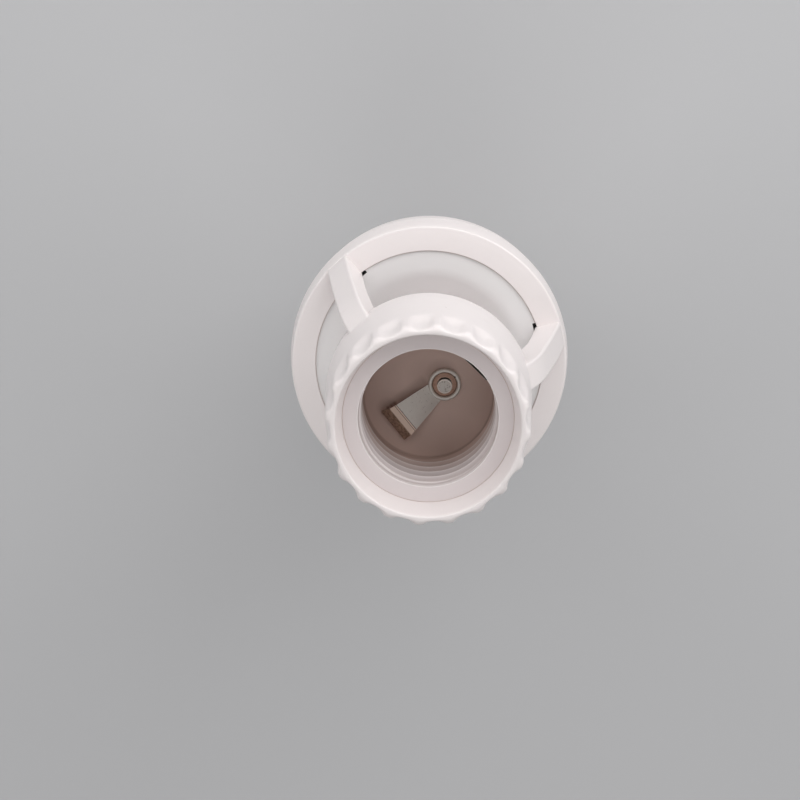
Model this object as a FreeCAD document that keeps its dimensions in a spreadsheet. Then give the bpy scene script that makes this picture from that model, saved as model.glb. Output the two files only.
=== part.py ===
import FreeCAD, Part
import math
import os

import Sketcher

# Screw-in lamp holder with a motion sensor: a screw cap at the bottom, a round sensor housing above it,
# and a fluted Edison screw lamp socket that stands on three arms in front of the sensor's milky window.
# Units are millimetres. +Z runs from the cap's centre contact to the socket's mouth; the contact's tip
# is the origin. One arm and one flute crest lie on +X.

doc = FreeCAD.newDocument("lamp_holder")

# Driving dimensions

SIZES = [
    # lengths stacked along the axis, from the tip of the cap to the mouth of the socket
    ("cap_length", 25.0, "contact tip to the lower face of the rear housing"),
    ("housing_depth", 25.0, "lower face of the rear housing to its joint with the ring"),
    ("ring_depth", 7.5, "that joint to the front face of the ring"),
    ("window_height", 29.4, "front face of the ring to the rear end of the barrel"),
    ("barrel_length", 27.1, "rear end of the barrel to the mouth"),
    # front housing: ring, arms and barrel
    ("ring_face_radius", 27.6, "outer edge of the ring's front face"),
    ("ring_face_width", 4.8, "that face, from its outer to its inner edge"),
    ("ring_flare", 0.6, "how much wider the ring is at its joint"),
    ("ring_face_drop", 0.8, "how far that edge lies behind the inner one"),
    ("ring_edge_round", 0.7, "rounding of that edge"),
    ("ring_wall", 2.2, "wall of the ring"),
    ("barrel_front_radius", 18.2, "flute crests at the mouth"),
    ("barrel_rear_radius", 19.35, "rear end of the barrel"),
    ("barrel_bore_radius", 16.9, "bore that takes the socket insert"),
    ("lip_radius", 17.15, "outer edge of the flat on the lip"),
    ("lip_round", 1.1, "length of the rounding outside the lip"),
    ("mouth_radius", 16.35, "inner edge of the lip"),
    ("mouth_rear_radius", 15.4, "inner wall where it meets the insert"),
    ("mouth_depth", 6.5, "mouth to the face of the insert"),
    ("ledge_thickness", 1.6, "ledge that stops the insert"),
    ("flute_count", 20, "flutes around the barrel"),
    ("flute_depth", 0.85, "depth of a flute at the mouth"),
    ("flute_radius", 4.0, "radius of a flute across"),
    ("flute_taper", 7.4, "degrees by which a flute narrows to the rear"),
    ("flute_length", 11.0, "length of the cutter of a flute"),
    ("arm_count", 3, "arms between barrel and ring"),
    ("arm_width", 5.0, "width of an arm"),
    ("arm_rise", 4.6, "height at which an arm leaves the barrel, over its rear end"),
    ("arm_knee_radius", 22.6, "outer face of an arm below its knee"),
    ("arm_knee_drop", 4.1, "distance of that place below the barrel's rear end"),
    ("arm_web_drop", 7.0, "reach of the arm's web below the barrel's rear end"),
    ("arm_bow_radius", 20.0, "inner face of an arm at its bow"),
    ("arm_bow_drop", 15.4, "distance of the bow below the barrel's rear end"),
    ("arm_foot_reach", 0.75, "reach of an arm's foot inside the ring"),
    # milky sensor window
    ("lens_gap", 0.28, "gap between the ring and the window"),
    ("lens_band", 3.22, "flat band of the window, across"),
    ("lens_recess", 2.6, "depth of the dish inside the band"),
    ("lens_wall", 1.5, "wall of the window"),
    ("lens_flange_clearance", 0.1, "window's flange inside the ring"),
    ("lens_flange_thickness", 1.5, "thickness of that flange"),
    ("lens_notch", 0.85, "clearance beside an arm's foot in the window's edge"),
    ("lens_bore_clearance", 0.25, "window around the stem of the insert"),
    # socket insert
    ("insert_clearance", 0.12, "insert inside the barrel"),
    ("insert_radius", 15.1, "body of the insert"),
    ("insert_flange", 2.0, "thickness of its two flanges"),
    ("thread_radius", 12.25, "crests of the lamp thread"),
    ("thread_mouth_radius", 12.8, "lead-in of the lamp thread"),
    ("thread_lead", 1.6, "length of the lead-in"),
    ("socket_depth", 27.5, "mouth to the floor of the socket"),
    ("floor_thickness", 3.0, "floor of the socket"),
    ("stem_radius", 12.7, "stem behind the floor"),
    ("stem_bore_radius", 11.3, "bore of the stem"),
    ("stem_seat_radius", 11.9, "nose of the stem inside the window"),
    ("undercut_height", 3.6, "wider foot of the socket, over the floor"),
    ("undercut_depth", 1.1, "that foot outside the thread's crests"),
    ("contact_azimuth", 26.0, "degrees from an arm to the line of the contacts"),
    # centre contact and its rivet
    ("leaf_thickness", 0.45, "sheet of both contacts"),
    ("leaf_head_radius", 3.05, "round head of the centre contact"),
    ("leaf_rim_radius", 2.45, "inner edge of the head's raised rim"),
    ("leaf_rim_height", 0.3, "height of that rim"),
    ("leaf_pivot", 3.53, "head's centre along the line of the contacts"),
    ("leaf_shift", 0.43, "head's centre beside that line"),
    ("leaf_neck_width", 3.8, "neck beside the head"),
    ("leaf_neck_place", 0.9, "neck from the axis"),
    ("leaf_end_width", 6.96, "free end of the leaf"),
    ("leaf_crest_reach", 6.35, "crest of the leaf from the axis"),
    ("leaf_crest_half", 0.7, "half of the crest's length"),
    ("leaf_crest_height", 3.1, "crest of the leaf over the floor"),
    ("leaf_end_reach", 8.9, "free end from the axis"),
    ("leaf_end_height", 1.15, "free end over the floor"),
    ("rivet_head_radius", 1.42, "rivet's head"),
    ("rivet_head_height", 0.75, "rivet's head over the leaf"),
    ("rivet_shank_radius", 1.1, "rivet's shank"),
    ("rivet_clearance", 0.05, "shank in its holes"),
    # side contact
    ("side_width", 5.0, "width of the side contact"),
    ("side_place", 10.4, "side contact in the floor, from the axis"),
    ("side_back", 12.7, "its back bend from the axis"),
    ("side_touch", 12.05, "its touching bend from the axis"),
    ("side_back_height", 3.2, "back bend over the floor"),
    ("side_touch_height", 9.5, "touching bend over the floor"),
    ("side_tip_height", 11.8, "tip over the floor"),
    ("side_foot", 5.4, "inner end of its foot from the axis"),
    ("side_screw_place", 7.4, "screw of the foot from the axis"),
    ("side_screw_radius", 1.0, "screw thread"),
    ("side_screw_head", 1.9, "screw head radius"),
    ("slot_inner", 9.4, "inner edge of the slot for the side contact"),
    ("slot_outer", 13.9, "outer edge of the slot"),
    ("slot_width", 7.0, "width of the slot"),
    ("slot_height", 13.0, "height of the slot over the floor"),
    # rear housing
    ("collar_radius", 15.6, "collar around the cap shell"),
    ("collar_edge", 0.5, "rounding of the collar's lower edge"),
    ("collar_height", 3.5, "height of the collar"),
    ("collar_shoulder", 0.6, "dome's foot outside the collar"),
    ("dome_height", 13.0, "height of the dome over the collar"),
    ("dome_inset", 0.7, "top of the dome inside the ring's joint"),
    ("housing_wall", 2.2, "wall of the dome"),
    ("housing_floor", 2.2, "floor of the rear housing"),
    ("spigot_height", 2.0, "spigot that stands into the ring"),
    ("spigot_clearance", 0.15, "spigot inside the ring"),
    ("spigot_wall", 1.5, "wall of the spigot"),
    ("board_seat", 4.0, "board's underside below the joint"),
    ("seat_width", 1.4, "ledge that the board lies on"),
    ("seat_height", 2.4, "height of that ledge"),
    # screw cap
    ("shell_radius", 13.1, "crests of the cap's thread"),
    ("shell_wall", 0.8, "shell from crest to inner wall"),
    ("shell_start", 4.6, "contact tip to the shell's nose"),
    ("shell_nose_inset", 1.2, "shell at its nose, below its crests"),
    ("shell_nose_length", 2.0, "length of the nose"),
    ("shell_grip", 3.0, "length of shell inside the collar"),
    ("shell_grip_drop", 0.3, "shell inside the collar, below its crests"),
    ("shell_clearance", 0.05, "shell inside the collar"),
    ("insulator_tip_radius", 6.0, "tip of the insulator"),
    ("insulator_height", 8.4, "contact tip to the top of the insulator"),
    ("button_radius", 4.8, "centre contact of the cap"),
    ("button_crown", 0.7, "crown of that contact"),
    ("button_thickness", 1.5, "its thickness"),
    ("button_shank_radius", 1.5, "its rivet shank"),
    ("button_shank_length", 9.4, "contact tip to the end of the shank"),
    # circuit board and what it carries
    ("board_thickness", 1.6, "circuit board"),
    ("board_clearance", 0.15, "board inside the spigot"),
    ("board_screw_inset", 3.9, "board screws from the board's edge"),
    ("board_screw_radius", 1.15, "board screw thread"),
    ("board_screw_head", 2.2, "board screw head radius"),
    ("board_screw_length", 6.0, "board screw thread length"),
    ("screw_head_height", 1.2, "head of every screw"),
    ("boss_radius", 2.6, "screw boss"),
    ("boss_height", 13.0, "screw boss below the board"),
    ("sensor_inset", 6.6, "sensors and control chip from the board's edge"),
    ("sensor_radius", 4.6, "motion sensor's can"),
    ("sensor_height", 3.6, "height of that can"),
    ("light_sensor_radius", 1.5, "light sensor"),
    ("light_sensor_height", 4.0, "height of the light sensor"),
    ("relay_length", 15.0, "relay"),
    ("relay_width", 10.0, "relay"),
    ("relay_height", 11.0, "relay"),
    ("film_length", 13.0, "film capacitor"),
    ("film_width", 5.5, "film capacitor"),
    ("film_height", 10.5, "film capacitor"),
    ("electrolytic_radius", 4.0, "electrolytic capacitor"),
    ("electrolytic_height", 11.0, "electrolytic capacitor"),
    ("rectifier_length", 8.4, "rectifier"),
    ("rectifier_width", 6.4, "rectifier"),
    ("rectifier_height", 3.2, "rectifier"),
    ("chip_length", 5.0, "control chip"),
    ("chip_width", 4.0, "control chip"),
    ("chip_height", 1.6, "control chip"),
    ("part_spacing", 1.2, "free space between parts on the board"),
    ("wire_radius", 0.8, "insulated leads"),
    ("neutral_lead_place", 9.9, "lead of the shell from the axis"),
]

sheet = doc.addObject("Spreadsheet::Sheet", "dims")
for row, (alias, number, note) in enumerate(SIZES, start=1):
    sheet.set(f"A{row}", alias)
    sheet.set(f"B{row}", str(number))
    sheet.set(f"C{row}", note)
    sheet.setAlias(f"B{row}", alias)
doc.recompute()

# Heights and fits that several pieces share, as expressions on the sheet

HOUSING_FLOOR = "dims.cap_length"
COLLAR_TOP = f"({HOUSING_FLOOR} + dims.collar_height)"
DOME_TOP = f"({COLLAR_TOP} + dims.dome_height)"
JOINT = f"({HOUSING_FLOOR} + dims.housing_depth)"
RING_FACE = f"({JOINT} + dims.ring_depth)"
RING_EDGE = f"({RING_FACE} - dims.ring_face_drop)"
RING_UNDERSIDE = f"({RING_FACE} - dims.ring_wall)"
BARREL_END = f"({RING_FACE} + dims.window_height)"
MOUTH = f"({BARREL_END} + dims.barrel_length)"
INSERT_FACE = f"({MOUTH} - dims.mouth_depth)"
LEDGE = f"({INSERT_FACE} - dims.ledge_thickness)"
FLOOR = f"({MOUTH} - dims.socket_depth)"
FLOOR_UNDERSIDE = f"({FLOOR} - dims.floor_thickness)"
FLANGE_RADIUS = "(dims.barrel_bore_radius - dims.insert_clearance)"
RING_RADIUS = "(dims.ring_face_radius + dims.ring_flare)"
RING_OPENING = "(dims.ring_face_radius - dims.ring_face_width)"
RING_BORE = f"({RING_RADIUS} - dims.ring_wall)"
RING_UPPER_BORE = "(dims.ring_face_radius - dims.ring_wall)"
ARM_FOOT = f"({RING_OPENING} - dims.arm_foot_reach)"
SPIGOT_RADIUS = f"({RING_BORE} - dims.spigot_clearance)"
SPIGOT_BORE = f"({SPIGOT_RADIUS} - dims.spigot_wall)"
SPIGOT_TOP = f"({JOINT} + dims.spigot_height)"
LENS_RADIUS = f"({RING_OPENING} - dims.lens_gap)"
LENS_FLAT = f"({LENS_RADIUS} - dims.lens_band)"
LENS_FLANGE = f"({RING_UPPER_BORE} - dims.lens_flange_clearance)"
LENS_FACE = f"({RING_FACE} - 0.5 * dims.ring_face_drop)"
LENS_DISH = f"({LENS_FACE} - dims.lens_recess)"
LENS_BORE = "(dims.stem_seat_radius + dims.lens_bore_clearance)"
STEM_SEAT = LENS_DISH
BOARD_UNDERSIDE = f"({JOINT} - dims.board_seat)"
BOARD_TOP = f"({BOARD_UNDERSIDE} + dims.board_thickness)"
BOARD_RADIUS = f"({SPIGOT_BORE} - dims.board_clearance)"
BOARD_SCREWS = f"({BOARD_RADIUS} - dims.board_screw_inset)"
SENSORS = f"({BOARD_RADIUS} - dims.sensor_inset)"
DOME_RADIUS = f"({RING_RADIUS} - dims.dome_inset)"
DOME_FOOT = "(dims.collar_radius + dims.collar_shoulder)"
SHELL_BORE = "(dims.shell_radius - dims.shell_wall)"
SHELL_TOP = f"({HOUSING_FLOOR} + dims.shell_grip)"


def value(expression):
    """Number that an expression on the sheet gives."""
    return float(sheet.evalExpression(expression))


# Sketch and feature helpers

def origin_feature(body, role):
    return next(item for item in body.Origin.OriginFeatures if item.Role == role)


def new_body(label):
    body = doc.addObject("PartDesign::Body", label)
    body.Label = label
    return body


def new_sketch(body, name, role="XZ_Plane", level=None):
    """Sketch on one of the body's origin planes, lifted along the plane's normal to a level."""
    sketch = body.newObject("Sketcher::SketchObject", name)
    sketch.AttachmentSupport = [(origin_feature(body, role), "")]
    sketch.MapMode = "FlatFace"
    if level:
        sketch.setExpression("AttachmentOffset.Base.z", level)
    return sketch


def place_point(sketch, geometry, point, across, up):
    """Dimensions one point of a sketch from the origin; a zero puts it on the axis."""
    for kind, expression, axis in (("DistanceX", across, -2), ("DistanceY", up, -1)):
        if expression == "0":
            sketch.addConstraint(Sketcher.Constraint("PointOnObject", geometry, point, axis))
            continue
        number = value(expression)
        index = sketch.addConstraint(Sketcher.Constraint(kind, -1, 1, geometry, point, number))
        sketch.setExpression(f"Constraints[{index}]", expression)


def outline(sketch, corners):
    """Closed outline. A corner is (across, up), or (across, up, (across, up)) where an arc through
    the inner point leaves it for the next corner."""
    points = [FreeCAD.Vector(value(corner[0]), value(corner[1]), 0) for corner in corners]
    starts, ends = [], []
    for number, corner in enumerate(corners):
        here, there = points[number], points[(number + 1) % len(points)]
        if len(corner) == 2:
            edge = sketch.addGeometry(Part.LineSegment(here, there), False)
            starts.append((edge, 1))
            ends.append((edge, 2))
            continue
        through = FreeCAD.Vector(value(corner[2][0]), value(corner[2][1]), 0)
        arc = Part.Arc(here, through, there).toShape().Curve
        turns_left = ((through - here).cross(there - through)).z > 0
        first, last = (here, there) if turns_left else (there, here)
        circle = Part.Circle(arc.Center, FreeCAD.Vector(0, 0, 1), arc.Radius)
        bend = Part.ArcOfCircle(circle, circle.parameter(first), circle.parameter(last))
        edge = sketch.addGeometry(bend, False)
        starts.append((edge, 1 if turns_left else 2))
        ends.append((edge, 2 if turns_left else 1))
        guide = sketch.addGeometry(Part.Point(through), True)
        place_point(sketch, guide, 1, *corner[2])
        sketch.addConstraint(Sketcher.Constraint("PointOnObject", guide, 1, edge))
    for number, corner in enumerate(corners):
        sketch.addConstraint(Sketcher.Constraint("Coincident", *ends[number - 1], *starts[number]))
        place_point(sketch, *starts[number], corner[0], corner[1])


def circle_at(sketch, across, up, radius):
    centre = FreeCAD.Vector(value(across), value(up), 0)
    edge = sketch.addGeometry(Part.Circle(centre, FreeCAD.Vector(0, 0, 1), value(radius)), False)
    place_point(sketch, edge, 3, across, up)
    index = sketch.addConstraint(Sketcher.Constraint("Radius", edge, value(radius)))
    sketch.setExpression(f"Constraints[{index}]", radius)


def rectangle(sketch, low_across, high_across, low_up, high_up):
    outline(sketch, [
        (low_across, low_up),
        (high_across, low_up),
        (high_across, high_up),
        (low_across, high_up),
    ])


def revolve(body, name, corners):
    """Solid of revolution about the Z axis from an outline in the XZ plane."""
    sketch = new_sketch(body, name + "_outline")
    outline(sketch, corners)
    feature = body.newObject("PartDesign::Revolution", name)
    feature.Profile = sketch
    feature.ReferenceAxis = (sketch, ["V_Axis"])
    feature.Angle = 360.0
    return feature


def extrude(body, kind, name, sketch, length, midplane=False, reversed_side=False):
    feature = body.newObject(kind, name)
    feature.Profile = sketch
    feature.setExpression("Length", length)
    feature.Midplane = midplane
    feature.Reversed = reversed_side
    return feature


def repeat(body, name, feature, count):
    """Copies of a feature spread evenly about the Z axis."""
    pattern = body.newObject("PartDesign::PolarPattern", name)
    pattern.Originals = [feature]
    pattern.Axis = (origin_feature(body, "Z_Axis"), [""])
    pattern.Angle = 360.0
    pattern.setExpression("Occurrences", count)
    body.Tip = pattern
    return pattern


def turn_about_axis(piece, degrees, shift=None):
    """Places a piece by a turn about the Z axis and, turned with it, a shift towards its own -Y."""
    piece.Placement = FreeCAD.Placement(FreeCAD.Vector(), FreeCAD.Rotation(FreeCAD.Vector(0, 0, 1), 1.0))
    piece.setExpression("Placement.Rotation.Angle", degrees)
    if shift:
        piece.setExpression("Placement.Base.x", f"{shift} * sin({degrees})")
        piece.setExpression("Placement.Base.y", f"-{shift} * cos({degrees})")


# Housings

def barrel_radius_at(height):
    """Outer radius of the barrel's cone at a height, as an expression."""
    widening = "(dims.barrel_rear_radius - dims.barrel_front_radius)"
    slope = f"{widening} / (dims.barrel_length - dims.lip_round)"
    return f"(dims.barrel_rear_radius - ({height} - {BARREL_END}) * {slope})"


def front_housing():
    """Ring, arms and fluted barrel, moulded in one."""
    body = new_body("front_housing")
    lip_flank = f"(({MOUTH}) - 0.293 * dims.lip_round)"
    lip_middle = "(dims.barrel_front_radius - 0.293 * (dims.barrel_front_radius - dims.lip_radius))"
    revolve(body, "barrel", [
        ("dims.mouth_radius", MOUTH),
        ("dims.lip_radius", MOUTH, (lip_middle, lip_flank)),
        ("dims.barrel_front_radius", f"({MOUTH} - dims.lip_round)"),
        ("dims.barrel_rear_radius", BARREL_END),
        ("dims.barrel_bore_radius", BARREL_END),
        ("dims.barrel_bore_radius", LEDGE),
        ("dims.mouth_rear_radius", LEDGE),
        ("dims.mouth_rear_radius", INSERT_FACE),
    ])
    doc.recompute()

    arm = new_sketch(body, "arm_outline")
    root_height = f"({BARREL_END} + dims.arm_rise)"
    knee_height = f"({BARREL_END} - dims.arm_knee_drop)"
    root_radius = f"({barrel_radius_at(root_height)} - 0.3)"
    knee_middle = (f"({root_radius} + 0.5 * (dims.arm_knee_radius - {root_radius}))",
                   f"({BARREL_END} + 0.28 * (dims.arm_rise - dims.arm_knee_drop) + 1.6)")
    inside_wall = "(dims.barrel_bore_radius + 0.1)"
    outline(arm, [
        (root_radius, root_height, knee_middle),
        ("dims.arm_knee_radius", knee_height),
        ("(dims.ring_face_radius - 0.2)", RING_EDGE),
        ("(dims.ring_face_radius - 0.2)", RING_UNDERSIDE),
        (ARM_FOOT, RING_UNDERSIDE),
        (ARM_FOOT, RING_FACE),
        ("dims.arm_bow_radius", f"({BARREL_END} - dims.arm_bow_drop)"),
        (inside_wall, f"({BARREL_END} - dims.arm_web_drop)"),
        (inside_wall, root_height),
    ])
    pad = extrude(body, "PartDesign::Pad", "arm", arm, "dims.arm_width", midplane=True)
    doc.recompute()
    repeat(body, "arms", pad, "dims.arm_count")
    doc.recompute()

    edge_round = "dims.ring_edge_round"
    revolve(body, "ring", [
        (RING_OPENING, RING_FACE),
        (f"(dims.ring_face_radius - {edge_round})", f"({RING_EDGE} + 0.1 * {edge_round})",
         (f"(dims.ring_face_radius - 0.28 * {edge_round})", f"({RING_EDGE} - 0.2 * {edge_round})")),
        ("dims.ring_face_radius", f"({RING_EDGE} - {edge_round})"),
        (RING_RADIUS, JOINT),
        (RING_BORE, JOINT),
        (RING_BORE, f"({SPIGOT_TOP} + 0.3)"),
        (RING_UPPER_BORE, RING_UNDERSIDE),
        (RING_OPENING, RING_UNDERSIDE),
    ])
    doc.recompute()

    valley = "(dims.barrel_front_radius - dims.flute_depth + dims.flute_radius)"
    flute = new_sketch(body, "flute_outline", "XY_Plane", MOUTH)
    half_step = "180deg / dims.flute_count"
    circle_at(flute, f"{valley} * cos({half_step})", f"{valley} * sin({half_step})", "dims.flute_radius")
    cut = extrude(body, "PartDesign::Pocket", "flute", flute, "dims.flute_length")
    cut.setExpression("TaperAngle", "-dims.flute_taper * 1deg")
    doc.recompute()
    repeat(body, "flutes", cut, "dims.flute_count")
    return body


def lens_ring():
    """Milky window of the sensor: a flat band, a dish inside it and a flange under the ring."""
    body = new_body("lens_ring")
    flange_top = f"({RING_UNDERSIDE} - 0.02)"
    flange_bottom = f"({flange_top} - dims.lens_flange_thickness)"
    revolve(body, "window", [
        (LENS_BORE, f"({LENS_DISH} - dims.lens_wall)"),
        (LENS_BORE, LENS_DISH),
        ("(dims.stem_radius + 1.2)", LENS_DISH),
        (LENS_FLAT, LENS_FACE),
        (LENS_RADIUS, LENS_FACE),
        (LENS_RADIUS, flange_top),
        (LENS_FLANGE, flange_top),
        (LENS_FLANGE, flange_bottom),
        (f"({LENS_FLAT} + 0.8)", flange_bottom),
        ("(dims.stem_radius + 1.7)", f"({LENS_DISH} - dims.lens_wall)"),
    ])
    doc.recompute()
    notch = new_sketch(body, "notch_outline", "XY_Plane", f"({LENS_FACE} + 1)")
    half_notch = "(0.5 * dims.arm_width + dims.lens_notch)"
    rectangle(notch, f"({ARM_FOOT} - 0.3)", f"({LENS_FLANGE} + 1)", f"(-{half_notch})", half_notch)
    cut = extrude(body, "PartDesign::Pocket", "notch", notch, f"(1 + {LENS_FACE} - {flange_top})")
    doc.recompute()
    repeat(body, "notches", cut, "dims.arm_count")
    return body


def socket_insert():
    """Insert with the lamp thread's bore, its floor and the hollow stem that carries the leads."""
    body = new_body("socket_insert")
    undercut = "(dims.thread_radius + dims.undercut_depth)"
    undercut_top = f"({FLOOR} + dims.undercut_height)"
    revolve(body, "cup", [
        (undercut, FLOOR),
        (undercut, f"({undercut_top} - 0.5 * dims.undercut_depth)"),
        ("dims.thread_radius", undercut_top),
        ("dims.thread_radius", f"({INSERT_FACE} - dims.thread_lead)"),
        ("dims.thread_mouth_radius", INSERT_FACE),
        ("(dims.mouth_rear_radius - dims.insert_clearance)", INSERT_FACE),
        ("(dims.mouth_rear_radius - dims.insert_clearance)", LEDGE),
        (FLANGE_RADIUS, LEDGE),
        (FLANGE_RADIUS, f"({LEDGE} - dims.insert_flange)"),
        ("dims.insert_radius", f"({LEDGE} - dims.insert_flange)"),
        ("dims.insert_radius", f"({BARREL_END} + dims.insert_flange)"),
        (FLANGE_RADIUS, f"({BARREL_END} + dims.insert_flange)"),
        (FLANGE_RADIUS, BARREL_END),
        ("dims.stem_radius", FLOOR_UNDERSIDE),
        ("dims.stem_radius", STEM_SEAT),
        ("dims.stem_seat_radius", STEM_SEAT),
        ("dims.stem_seat_radius", f"({LENS_DISH} - dims.lens_wall)"),
        ("dims.stem_bore_radius", f"({LENS_DISH} - dims.lens_wall)"),
        ("dims.stem_bore_radius", FLOOR_UNDERSIDE),
        ("0", FLOOR_UNDERSIDE),
        ("0", FLOOR),
    ])
    doc.recompute()
    slot = new_sketch(body, "slot_outline", "XY_Plane", f"({FLOOR} + dims.slot_height)")
    rectangle(slot, "dims.slot_inner", "dims.slot_outer",
              "(-0.5 * dims.slot_width)", "(0.5 * dims.slot_width)")
    extrude(body, "PartDesign::Pocket", "slot", slot, "(dims.slot_height + dims.floor_thickness)")
    doc.recompute()
    hole = new_sketch(body, "rivet_hole_outline", "XY_Plane", FLOOR)
    circle_at(hole, "dims.leaf_pivot", "(-dims.leaf_shift)",
              "(dims.rivet_shank_radius + dims.rivet_clearance)")
    extrude(body, "PartDesign::Pocket", "rivet_hole", hole, "dims.floor_thickness")
    doc.recompute()
    blind = new_sketch(body, "screw_hole_outline", "XY_Plane", FLOOR_UNDERSIDE)
    circle_at(blind, "dims.side_screw_place", "0", "(dims.side_screw_radius + dims.rivet_clearance)")
    extrude(body, "PartDesign::Pocket", "screw_hole", blind,
            "(0.7 * dims.floor_thickness)", reversed_side=True)
    doc.recompute()
    turn_about_axis(body, "dims.contact_azimuth * 1deg")
    return body


def rear_housing():
    """Domed rear housing with the collar of the cap, the board's ledge and two screw bosses."""
    body = new_body("rear_housing")
    bend = "0.7071"
    dome_rise = f"({DOME_TOP} - {COLLAR_TOP})"
    dome_run = f"({DOME_RADIUS} - {DOME_FOOT})"
    dome_middle = (f"({DOME_FOOT} + {bend} * {dome_run})", f"({DOME_TOP} - {bend} * {dome_rise})")
    inner_floor = f"({COLLAR_TOP} + dims.housing_floor)"
    inner_foot = f"({DOME_FOOT} - 0.8)"
    inner_radius = f"({DOME_RADIUS} - dims.housing_wall)"
    inner_middle = (f"({inner_foot} + {bend} * ({inner_radius} - {inner_foot}))",
                    f"({DOME_TOP} - {bend} * ({DOME_TOP} - {inner_floor}))")
    ledge_radius = f"({SPIGOT_BORE} - dims.seat_width)"
    ledge_bottom = f"({BOARD_UNDERSIDE} - dims.seat_height)"
    grip_radius = "(dims.shell_radius - dims.shell_grip_drop + dims.shell_clearance)"
    revolve(body, "dome", [
        (grip_radius, HOUSING_FLOOR),
        ("(dims.collar_radius - dims.collar_edge)", HOUSING_FLOOR),
        ("dims.collar_radius", f"({HOUSING_FLOOR} + dims.collar_edge)"),
        (DOME_FOOT, COLLAR_TOP, dome_middle),
        (DOME_RADIUS, DOME_TOP),
        (RING_RADIUS, JOINT),
        (SPIGOT_RADIUS, JOINT),
        (SPIGOT_RADIUS, SPIGOT_TOP),
        (SPIGOT_BORE, SPIGOT_TOP),
        (SPIGOT_BORE, BOARD_UNDERSIDE),
        (ledge_radius, BOARD_UNDERSIDE),
        (ledge_radius, f"({ledge_bottom} + 1)"),
        (inner_radius, ledge_bottom),
        (inner_radius, DOME_TOP, inner_middle),
        (inner_foot, inner_floor),
        (SHELL_BORE, inner_floor),
        (SHELL_BORE, SHELL_TOP),
        (grip_radius, SHELL_TOP),
    ])
    doc.recompute()
    bosses = new_sketch(body, "boss_outline", "XY_Plane", BOARD_UNDERSIDE)
    for side in (BOARD_SCREWS, f"(-{BOARD_SCREWS})"):
        circle_at(bosses, "0", side, "dims.boss_radius")
    extrude(body, "PartDesign::Pad", "bosses", bosses, "dims.boss_height", reversed_side=True)
    doc.recompute()
    holes = new_sketch(body, "boss_hole_outline", "XY_Plane", BOARD_UNDERSIDE)
    for side in (BOARD_SCREWS, f"(-{BOARD_SCREWS})"):
        circle_at(holes, "0", side, "(dims.board_screw_radius + dims.rivet_clearance)")
    extrude(body, "PartDesign::Pocket", "boss_holes", holes, "dims.board_screw_length")
    doc.recompute()
    return body


# Screw cap

def cap_shell():
    """Screw shell of the cap, with its thread left as a plain cylinder at the crests."""
    body = new_body("cap_shell")
    nose = "dims.shell_start"
    revolve(body, "shell", [
        (f"({SHELL_BORE} - 0.9)", nose),
        ("(dims.shell_radius - dims.shell_nose_inset)", nose),
        ("dims.shell_radius", f"({nose} + dims.shell_nose_length)"),
        ("dims.shell_radius", HOUSING_FLOOR),
        ("(dims.shell_radius - dims.shell_grip_drop)", HOUSING_FLOOR),
        ("(dims.shell_radius - dims.shell_grip_drop)", SHELL_TOP),
        (SHELL_BORE, SHELL_TOP),
        (SHELL_BORE, f"({nose} + 0.5 * dims.shell_nose_length)"),
    ])
    return body


def cap_insulator():
    """Insulating plug in the shell's nose, around the centre contact's shank."""
    body = new_body("cap_insulator")
    plug = f"({SHELL_BORE} - dims.insert_clearance)"
    shank = "(dims.button_shank_radius + dims.rivet_clearance)"
    revolve(body, "plug", [
        (shank, "dims.button_thickness"),
        ("dims.insulator_tip_radius", "dims.button_thickness"),
        (f"({SHELL_BORE} - 1.05)", "dims.shell_start"),
        (plug, "(dims.shell_start + 0.62 * dims.shell_nose_length)"),
        (plug, "dims.insulator_height"),
        (shank, "dims.insulator_height"),
    ])
    return body


def cap_contact():
    """Domed centre contact of the cap, riveted through the insulator."""
    body = new_body("cap_contact")
    head = "(dims.button_shank_radius + 0.8)"
    crown_middle = ("(0.62 * dims.button_radius)", "(0.4 * dims.button_crown)")
    revolve(body, "button", [
        ("0", "0", crown_middle),
        ("dims.button_radius", "dims.button_crown"),
        ("dims.button_radius", "dims.button_thickness"),
        ("dims.button_shank_radius", "dims.button_thickness"),
        ("dims.button_shank_radius", "dims.insulator_height"),
        (head, "dims.insulator_height"),
        (head, "dims.button_shank_length"),
        ("0", "dims.button_shank_length"),
    ])
    return body


# Socket contacts

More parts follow.
